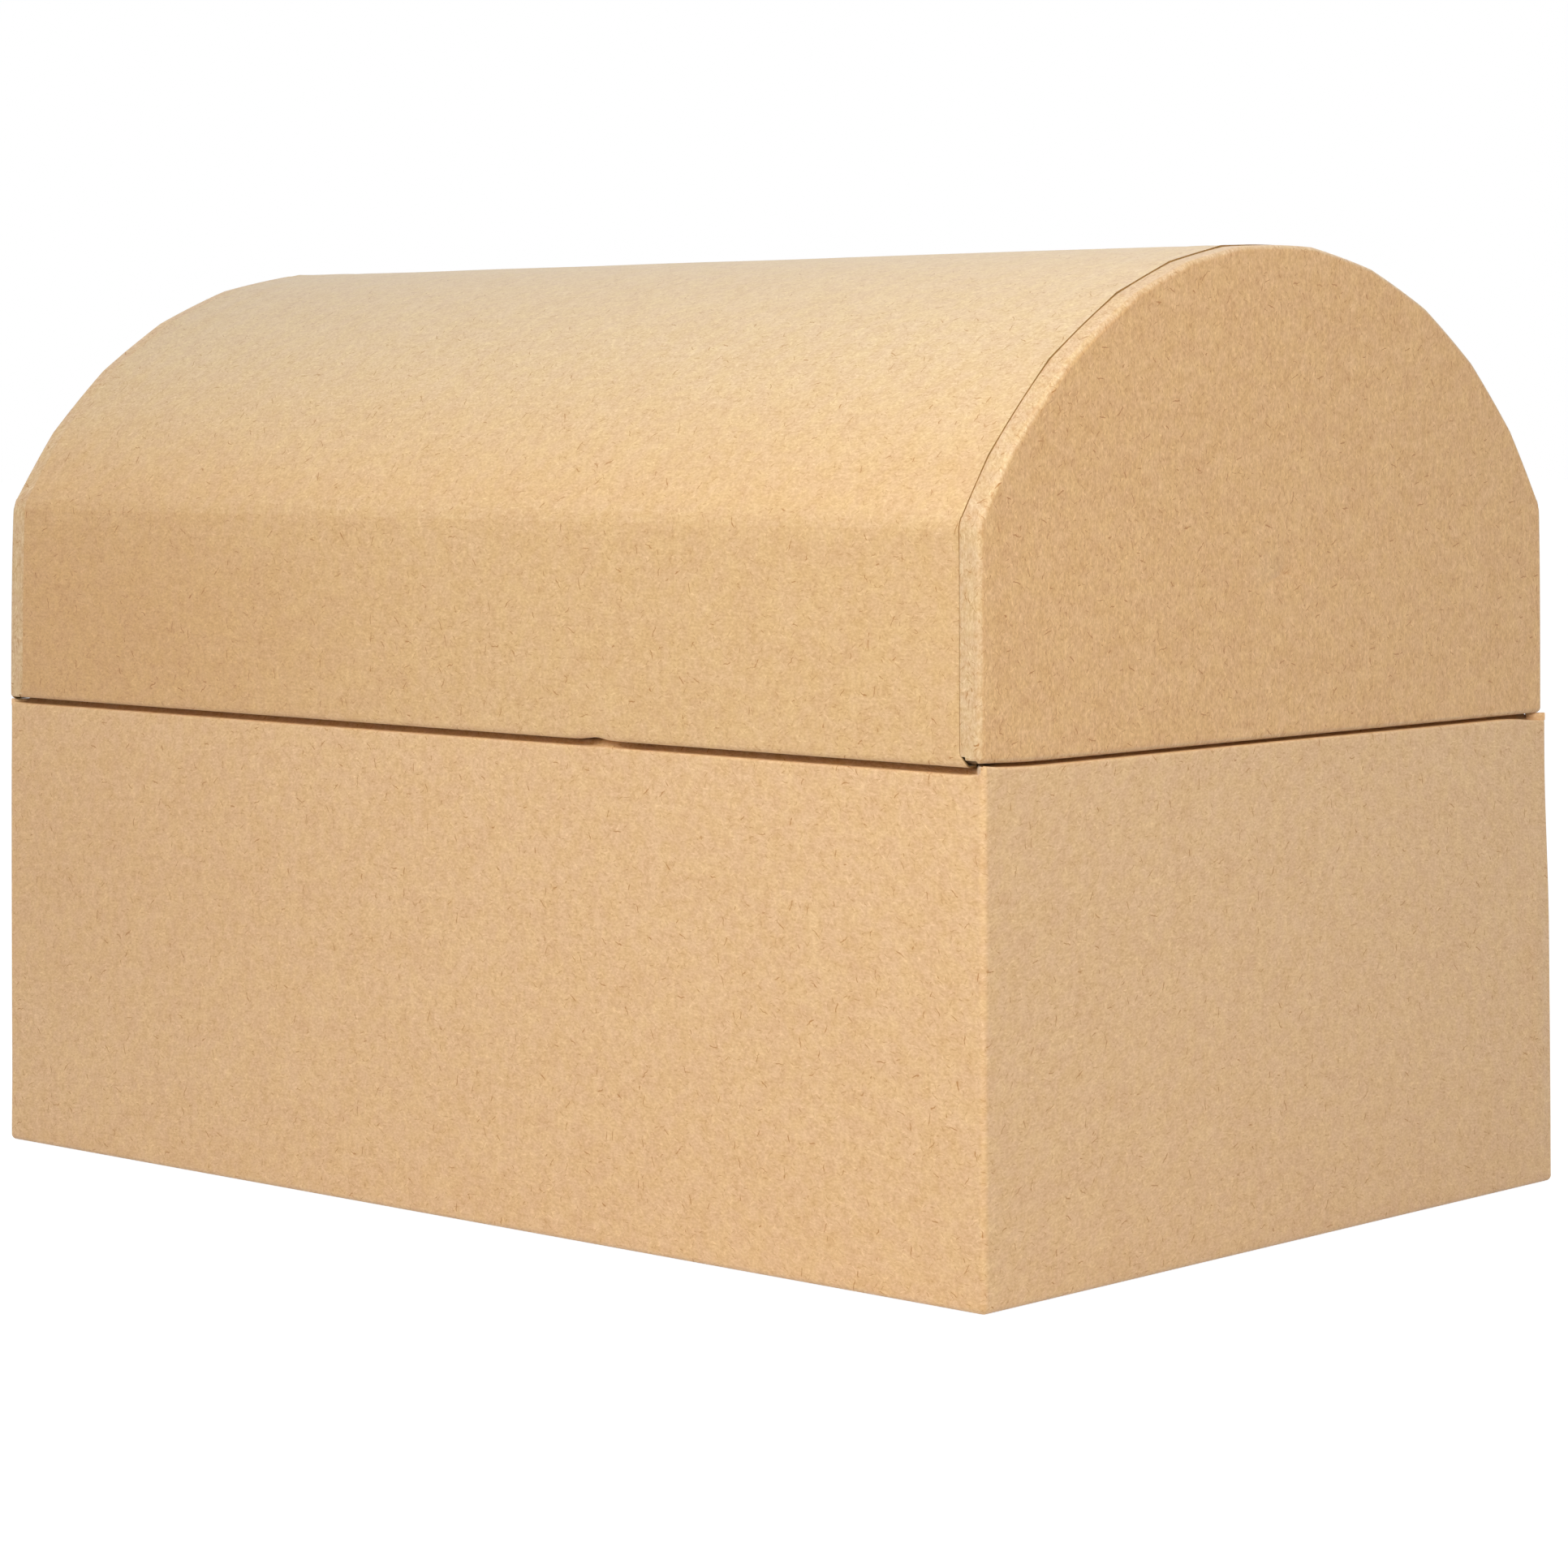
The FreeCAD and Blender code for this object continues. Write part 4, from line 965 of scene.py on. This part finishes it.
STRIP_HALF, LINER_HALF, STRIP_STATIONS = 104.0, 110.0, 53
STRIP_HEIGHTS = np.array([
    65.5, 67, 70, 74, 78, 80.5, 82, 82.8, 83.3, 83.7, PARTING,
    84.5, 84.9, 85.4, 86, 87.5, 90, 94, 98, 101.2, 102.7,
])
LINER_HEIGHTS = np.array([
    72.5, 74, 77, 79, 80.5, 81.5, 82.5, 83.3, PARTING, 84.9, 85.7, 86.7, 88, 90, 93, 95.7,
])
STRIP_CREASE, CREASE_REACH, STRIP_CLEARANCE, STRIP_LEAN_END = 0.3, 0.5, 0.06, (BASE_RIM + 0.1, LID_RIM + 0.3)
STRIP_BEND, LINER_BEND, STRIP_WEAR, LINER_WEAR = 1.5, 3.07, 0.3, 0.2
JOINT_MIDDLE = np.array([0.0, 0.0, PARTING])


def hinge_paper_strip(name, half, heights, depths, facing, crease_wear):
    """One strip of hinge paper across the joint, bent where base and lid meet."""
    stations = np.linspace(-half, half, STRIP_STATIONS)
    points = np.array([
        np.column_stack([np.full(len(heights), x), depths, heights]) for x in stations
    ])
    flat = np.dstack(np.meshgrid(heights, stations)[::-1])
    wear = np.tile(crease_wear * hump(heights, PARTING, CREASE_REACH), (STRIP_STATIONS, 1))
    return paper_sheet(name, points, flat, JOINT_MIDDLE, facing, (hinge_paper, cut_edge), wear=wear)


def bend_at_joint(piece, node):
    """The strip stands for the node, with its place baked into its mesh."""
    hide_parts(node)
    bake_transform(piece)


strip_lean = (base_lean(STRIP_HEIGHTS) + BASE_SHIFT[1]) * base_back_share(STRIP_HEIGHTS)
strip_lean = strip_lean * (1 - smooth_step(STRIP_HEIGHTS, *STRIP_LEAN_END))
strip_depths = HALF_DEPTH + strip_lean + PAPER + STRIP_CLEARANCE
strip_depths = strip_depths - STRIP_CREASE * hump(STRIP_HEIGHTS, PARTING, CREASE_REACH)
outer_strip = hinge_paper_strip("hinge_strip_paper", STRIP_HALF, STRIP_HEIGHTS, strip_depths, 1, STRIP_WEAR)
bend_at_joint(outer_strip, "hinge_strip")
liner_depths = np.full(len(LINER_HEIGHTS), HALF_DEPTH - OVER_FOLD_IN - PAPER)
inner_strip = hinge_paper_strip("hinge_liner_paper", LINER_HALF, LINER_HEIGHTS, liner_depths, -1, LINER_WEAR)
bend_at_joint(inner_strip, "hinge_liner")

# Slit tabs and corner tucks

TAB_PRESS, TAB_TRIM = 0.22, (0.9, 1.0)
TUCK_REACH, TUCK_HALF_WIDTH, TUCK_HEIGHT, TUCK_TOP, TUCK_TURN = 3.4, 0.65, 2.0, 84.75, 0.12
TUCK_STATIONS, TUCK_RING, TUCK_ENDS, TUCK_FULLNESS, TUCK_SQUARENESS = 9, 16, (0.12, 0.76), 0.35, 0.55
TUCK_CREASE, TUCK_CREASE_WIDTH, MERGE_WITHIN = 0.2, 0.25, 0.000001


def geometry_tree(name, sizes):
    """An empty tree with a geometry input, named inputs, a finish and a geometry output."""
    tree = bpy.data.node_groups.new(name, "GeometryNodeTree")
    tree.interface.new_socket("Geometry", in_out="INPUT", socket_type="NodeSocketGeometry")
    for size, value in sizes.items():
        kind = "NodeSocketInt" if isinstance(value, int) else "NodeSocketFloat"
        tree.interface.new_socket(size, in_out="INPUT", socket_type=kind)
    tree.interface.new_socket("Finish", in_out="INPUT", socket_type="NodeSocketMaterial")
    tree.interface.new_socket("Geometry", in_out="OUTPUT", socket_type="NodeSocketGeometry")
    return tree, tree.nodes.new("NodeGroupInput").outputs


def grid(tree, length, width, along, across):
    inputs = {"Size X": length, "Size Y": width, "Vertices X": along, "Vertices Y": across}
    return add_node(tree, "GeometryNodeMeshGrid", inputs).outputs["Mesh"]


def position_parts(tree):
    return separated(tree, add_node(tree, "GeometryNodeInputPosition").outputs[0])


def random_value(tree, low, high, seed):
    """A number of its own for each copy."""
    inputs = {"Min": low, "Max": high, "Seed": seed}
    node = add_node(tree, "FunctionNodeRandomValue", inputs, data_type="FLOAT")
    return next(socket for socket in node.outputs if socket.enabled)


def place_copies(tree, spots, piece, turn, scale, finish):
    """Copies of the piece on the spots, turned and scaled, as one mesh with the finish."""
    rotation = add_node(tree, "FunctionNodeEulerToRotation", {0: turn}).outputs[0]
    inputs = {"Points": spots, "Instance": piece, "Rotation": rotation, "Scale": scale}
    copies = add_node(tree, "GeometryNodeInstanceOnPoints", inputs).outputs[0]
    real = add_node(tree, "GeometryNodeRealizeInstances", {"Geometry": copies}).outputs[0]
    dressed = add_node(tree, "GeometryNodeSetMaterial", {"Geometry": real, "Material": finish}).outputs[0]
    add_node(tree, "NodeGroupOutput", {"Geometry": dressed})


def made_by_nodes(name, mesh, tree, values):
    """The piece that the tree makes of the mesh, as a plain mesh that faces outwards."""
    piece = add_object(name, mesh)
    modifier = piece.modifiers.new(name, "NODES")
    modifier.node_group = tree
    for item in tree.interface.items_tree:
        if item.in_out == "INPUT" and item.name in values:
            modifier[item.identifier] = values[item.name]
    plain_mesh(piece)
    shape = bmesh.new()
    shape.from_mesh(piece.data)
    bmesh.ops.remove_doubles(shape, verts=shape.verts, dist=MERGE_WITHIN)
    bmesh.ops.recalc_face_normals(shape, faces=shape.faces)
    shape.to_mesh(piece.data)
    shape.free()
    return piece


def slit_tabs():
    """The tabs between the slits of both end covers, flat on the shell board under the shell cover."""
    values = {
        "Tabs": TAB_COUNT - 2,
        "Tab angle": TAB_ANGLE,
        "Radius": (DOME_RADIUS - TAB_PRESS - PAPER) * MM,
        "Axis height": DOME_AXIS * MM,
        "Root": (HALF_LENGTH - SLIT_STOP) * MM,
        "Length": (END_TURN_IN - SLIT_STOP) * MM,
        "Width": (TAB_ANGLE * DOME_RADIUS - SLIT_WIDTH) * MM,
        "Paper": PAPER * MM,
        "Seed": HANDWORK_SEED,
    }
    tree, given = geometry_tree("end_cover_tabs", values)
    flat_tab = grid(tree, given["Length"], given["Width"], 4, 9)
    parts = position_parts(tree)
    reach = math_node(tree, "SUBTRACT", parts[0], math_node(tree, "MULTIPLY", given["Length"], 0.5))
    turn = math_node(tree, "DIVIDE", parts[1], given["Radius"])
    across = math_node(tree, "MULTIPLY", math_node(tree, "SINE", turn), given["Radius"])
    above = math_node(tree, "MULTIPLY", math_node(tree, "COSINE", turn), given["Radius"])
    inputs = {"Geometry": flat_tab, "Position": combined(tree, reach, across, above)}
    bent = add_node(tree, "GeometryNodeSetPosition", inputs).outputs[0]
    inputs = {"Mesh": bent, "Offset Scale": given["Paper"], "Individual": False}
    thick = add_node(tree, "GeometryNodeExtrudeMesh", inputs, mode="FACES").outputs["Mesh"]
    under = add_node(tree, "GeometryNodeFlipFaces", {"Mesh": bent}).outputs[0]
    tab = tree.nodes.new("GeometryNodeJoinGeometry")
    for side in (thick, under):
        tree.links.new(side, tab.inputs[0])
    number = add_node(tree, "GeometryNodeInputIndex").outputs[0]
    left = math_node(tree, "GREATER_THAN", number, math_node(tree, "SUBTRACT", given["Tabs"], 0.5))
    middle = math_node(tree, "MULTIPLY", math_node(tree, "SUBTRACT", given["Tabs"], 1.0), 0.5)
    own = math_node(tree, "SUBTRACT", math_node(tree, "MODULO", number, given["Tabs"]), middle)
    mirrored = math_node(tree, "MULTIPLY_ADD", left, -2.0, 1.0)
    root = combined(tree, math_node(tree, "MULTIPLY", mirrored, given["Root"]), 0.0, given["Axis height"])
    inputs = {"Count": math_node(tree, "MULTIPLY", given["Tabs"], 2.0), "Position": root}
    spots = add_node(tree, "GeometryNodePoints", inputs).outputs[0]
    roll = math_node(tree, "MULTIPLY", own, given["Tab angle"])
    turned = combined(tree, roll, 0.0, math_node(tree, "MULTIPLY", left, math.pi))
    trimmed = combined(tree, random_value(tree, *TAB_TRIM, given["Seed"]), 1.0, 1.0)
    place_copies(tree, spots, tab.outputs[0], turned, trimmed, given["Finish"])
    empty = bpy.data.meshes.new("end_cover_tabs")
    return made_by_nodes("lid_slit_tabs", empty, tree, {**values, "Finish": flat_kraft})


def tuck_mesh():
    """One folded corner of paper, pinched flat with a crease along its top, its outer end at the origin."""
    spots = []
    for share in np.arange(TUCK_STATIONS) / (TUCK_STATIONS - 1):
        full = math.sin(math.pi * (TUCK_ENDS[0] + TUCK_ENDS[1] * share)) ** TUCK_FULLNESS
        for turn in np.linspace(0, 2 * math.pi, TUCK_RING, endpoint=False):
            round_place = (math.cos(turn), math.sin(turn))
            side, rise = (math.copysign(abs(value) ** TUCK_SQUARENESS, value) for value in round_place)
            crease = TUCK_CREASE * hump(side, 0.0, TUCK_CREASE_WIDTH) * (rise > 0)
            height = TUCK_HEIGHT / 2 * full * (rise - 1 - crease)
            spots.append((-TUCK_REACH + share * TUCK_REACH, TUCK_HALF_WIDTH * full * side, height))
    faces = sheet_faces(TUCK_STATIONS, TUCK_RING, True)
    faces += [tuple(range(first, first + TUCK_RING)) for first in (0, (TUCK_STATIONS - 1) * TUCK_RING)]
    mesh = bpy.data.meshes.new("corner_tuck")
    mesh.from_pydata([tuple(MM * value for value in spot) for spot in spots], [], faces)
    mesh.update()
    return mesh


def corner_tucks():
    """The folded tucks on top of the base's four corners, on which the lid rests."""
    rounded = WRAP_ROUND * (1 - math.sqrt(0.5))
    corner = BASE_RIM_LEAN - rounded
    front = HALF_DEPTH + corner - BASE_SHIFT[1]
    back = HALF_DEPTH + (BASE_RIM_LEAN + BASE_SHIFT[1]) * BACK_RIM_SHARE - rounded
    values = {
        "Length": 2 * (HALF_LENGTH + corner) * MM,
        "Depth": float((front + back) * MM),
        "Shift X": float(BASE_SHIFT[0] * MM),
        "Shift Y": float((back - front) / 2 * MM),
        "Top": TUCK_TOP * MM,
        "Turn": TUCK_TURN,
        "Seed": HANDWORK_SEED + 1,
    }
    tree, given = geometry_tree("base_corner_tucks", values)
    corners = grid(tree, given["Length"], given["Depth"], 2, 2)
    shift = combined(tree, given["Shift X"], given["Shift Y"], given["Top"])
    raised = add_node(tree, "GeometryNodeSetPosition", {"Geometry": corners, "Offset": shift}).outputs[0]
    parts = position_parts(tree)
    heading = math_node(tree, "ARCTAN2", math_node(tree, "SIGN", parts[1]), math_node(tree, "SIGN", parts[0]))
    drawn = random_value(tree, -1.0, 1.0, given["Seed"])
    turned = combined(tree, z=math_node(tree, "MULTIPLY_ADD", drawn, given["Turn"], heading))
    place_copies(tree, raised, given["Geometry"], turned, (1.0, 1.0, 1.0), given["Finish"])
    return made_by_nodes("base_corner_tuck_folds", tuck_mesh(), tree, {**values, "Finish": flat_kraft})


put(slit_tabs(), "lid", "kraft_cover")
put(corner_tucks(), "base", "kraft_cover")

# Camera, floor and light, in metres apart from the camera's place

CAMERA_PLACE = (550.34, -584.69, 140.06)
CAMERA_YAW, CAMERA_PITCH, CAMERA_ROLL = (math.radians(angle) for angle in (-42.865, -4.98, -0.185))
PHOTO_WIDTH, FOCAL_PIXELS, SENSOR_WIDTH = 1932.0, 5378.6, 36.0
SIDES_LIGHT, OVERHEAD_LIGHT, BACKDROP_LIGHT = 0.03, 0.15, 1.2
OVERHEAD_ZONE, BACKDROP_ZONE = (0.2, 0.95), (0.35, 0.85)
FLOOR_HALF_SIDE, FLOOR_GLOW = 6.0, 0.93
FLOOR_SHOWN_TONE, FLOOR_TONE = opaque(0.35, 0.35, 0.35), opaque(0.9, 0.9, 0.9)
LAMP_TARGET, LAMP_SIDE = (0.06, 0.0, 0.09), 0.35
SOFTBOXES = (
    ("right_softbox", (0.48, -0.17, 0.57), 2.0),
    ("front_softbox", (0.1, -0.5, 0.6), 2.5),
    ("near_softbox", (0.36, -0.46, 0.34), 0.6),
)


def add_camera():
    """The camera at the photograph's place, which looks down a little and is very slightly rolled."""
    level = math.cos(CAMERA_PITCH)
    forward = Vector((math.sin(CAMERA_YAW) * level, math.cos(CAMERA_YAW) * level, math.sin(CAMERA_PITCH)))
    right = Vector((math.cos(CAMERA_YAW), -math.sin(CAMERA_YAW), 0.0))
    up = right.cross(forward)
    rolled_right = right * math.cos(CAMERA_ROLL) + up * math.sin(CAMERA_ROLL)
    rolled_up = up * math.cos(CAMERA_ROLL) - right * math.sin(CAMERA_ROLL)
    lens = bpy.data.cameras.new("photo_camera")
    lens.sensor_width = SENSOR_WIDTH
    lens.lens = FOCAL_PIXELS / PHOTO_WIDTH * SENSOR_WIDTH
    camera = add_object("photo_camera", lens)
    turn = Matrix((rolled_right, rolled_up, -forward)).transposed().to_4x4()
    camera.matrix_world = Matrix.Translation(Vector(CAMERA_PLACE) * MM) @ turn
    bpy.context.scene.camera = camera


def add_lamp(name, place, power):
    data = bpy.data.lights.new(name, "AREA")
    data.shape = "RECTANGLE"
    data.size, data.size_y = LAMP_SIDE, LAMP_SIDE
    data.energy = power
    lamp = add_object(name, data)
    lamp.location = place
    lamp.rotation_euler = (Vector(LAMP_TARGET) - Vector(place)).to_track_quat("-Z", "Y").to_euler()


def seen_directly(tree):
    """1 for rays from the camera, in mirrors and through glass, and 0 for light that falls on the chest."""
    paths = add_node(tree, "ShaderNodeLightPath").outputs
    seen = math_node(tree, "ADD", paths["Is Camera Ray"], paths["Is Glossy Ray"])
    return math_node(tree, "ADD", seen, paths["Is Transmission Ray"], clamp=True)


def add_world():
    """A studio with dim sides, a soft overhead light and a bright backdrop behind the chest."""
    world = bpy.data.worlds.new("studio")
    bpy.context.scene.world = world
    tree = node_tree(world)
    heading = add_node(tree, "ShaderNodeTexCoord").outputs["Generated"]
    backwards = (math.sin(CAMERA_YAW), math.cos(CAMERA_YAW), 0.0)
    level = SIDES_LIGHT
    for direction, zone, light in (
        ((0.0, 0.0, 1.0), OVERHEAD_ZONE, OVERHEAD_LIGHT),
        (backwards, BACKDROP_ZONE, BACKDROP_LIGHT),
    ):
        towards = vector_node(tree, "DOT_PRODUCT", heading, direction, output="Value")
        level = math_node(tree, "MULTIPLY_ADD", ramp(tree, towards, *zone), light - SIDES_LIGHT, level)
    seen = seen_directly(tree)
    unseen = math_node(tree, "SUBTRACT", 1.0, seen)
    strength = math_node(tree, "ADD", seen, math_node(tree, "MULTIPLY", level, unseen))
    background = add_node(tree, "ShaderNodeBackground", {"Color": WHITE, "Strength": strength})
    add_node(tree, "ShaderNodeOutputWorld", {"Surface": background.outputs[0]})


def add_floor():
    """A wide pale table: white where the camera sees it, with the chest's own soft shadow."""
    mesh = bpy.data.meshes.new("floor")
    corners = [(x * FLOOR_HALF_SIDE, y * FLOOR_HALF_SIDE, 0) for x, y in ((-1, -1), (1, -1), (1, 1), (-1, 1))]
    mesh.from_pydata(corners, [], [(0, 1, 2, 3)])
    floor = add_object("floor", mesh)
    material = bpy.data.materials.new("pale_table")
    tree = node_tree(material)
    matt = add_node(tree, "ShaderNodeBsdfDiffuse", {"Color": FLOOR_SHOWN_TONE}).outputs[0]
    table = add_node(tree, "ShaderNodeBsdfDiffuse", {"Color": FLOOR_TONE}).outputs[0]
    glow = add_node(tree, "ShaderNodeEmission", {"Color": WHITE, "Strength": FLOOR_GLOW}).outputs[0]
    shown = add_node(tree, "ShaderNodeAddShader", {0: matt, 1: glow}).outputs[0]
    choice = add_node(tree, "ShaderNodeMixShader", {0: seen_directly(tree), 1: table, 2: shown})
    add_node(tree, "ShaderNodeOutputMaterial", {"Surface": choice.outputs[0]})
    mesh.materials.append(material)


add_camera()
add_world()
add_floor()
for softbox in SOFTBOXES:
    add_lamp(*softbox)
bpy.context.scene.view_settings.view_transform = "Standard"

for name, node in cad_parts.items():
    if name.endswith("_board"):
        finish = greyboard
    elif "_stay_" in name:
        finish = stay_tape
    else:
        finish = flat_kraft
    node.data.materials.clear()
    node.data.materials.append(finish)
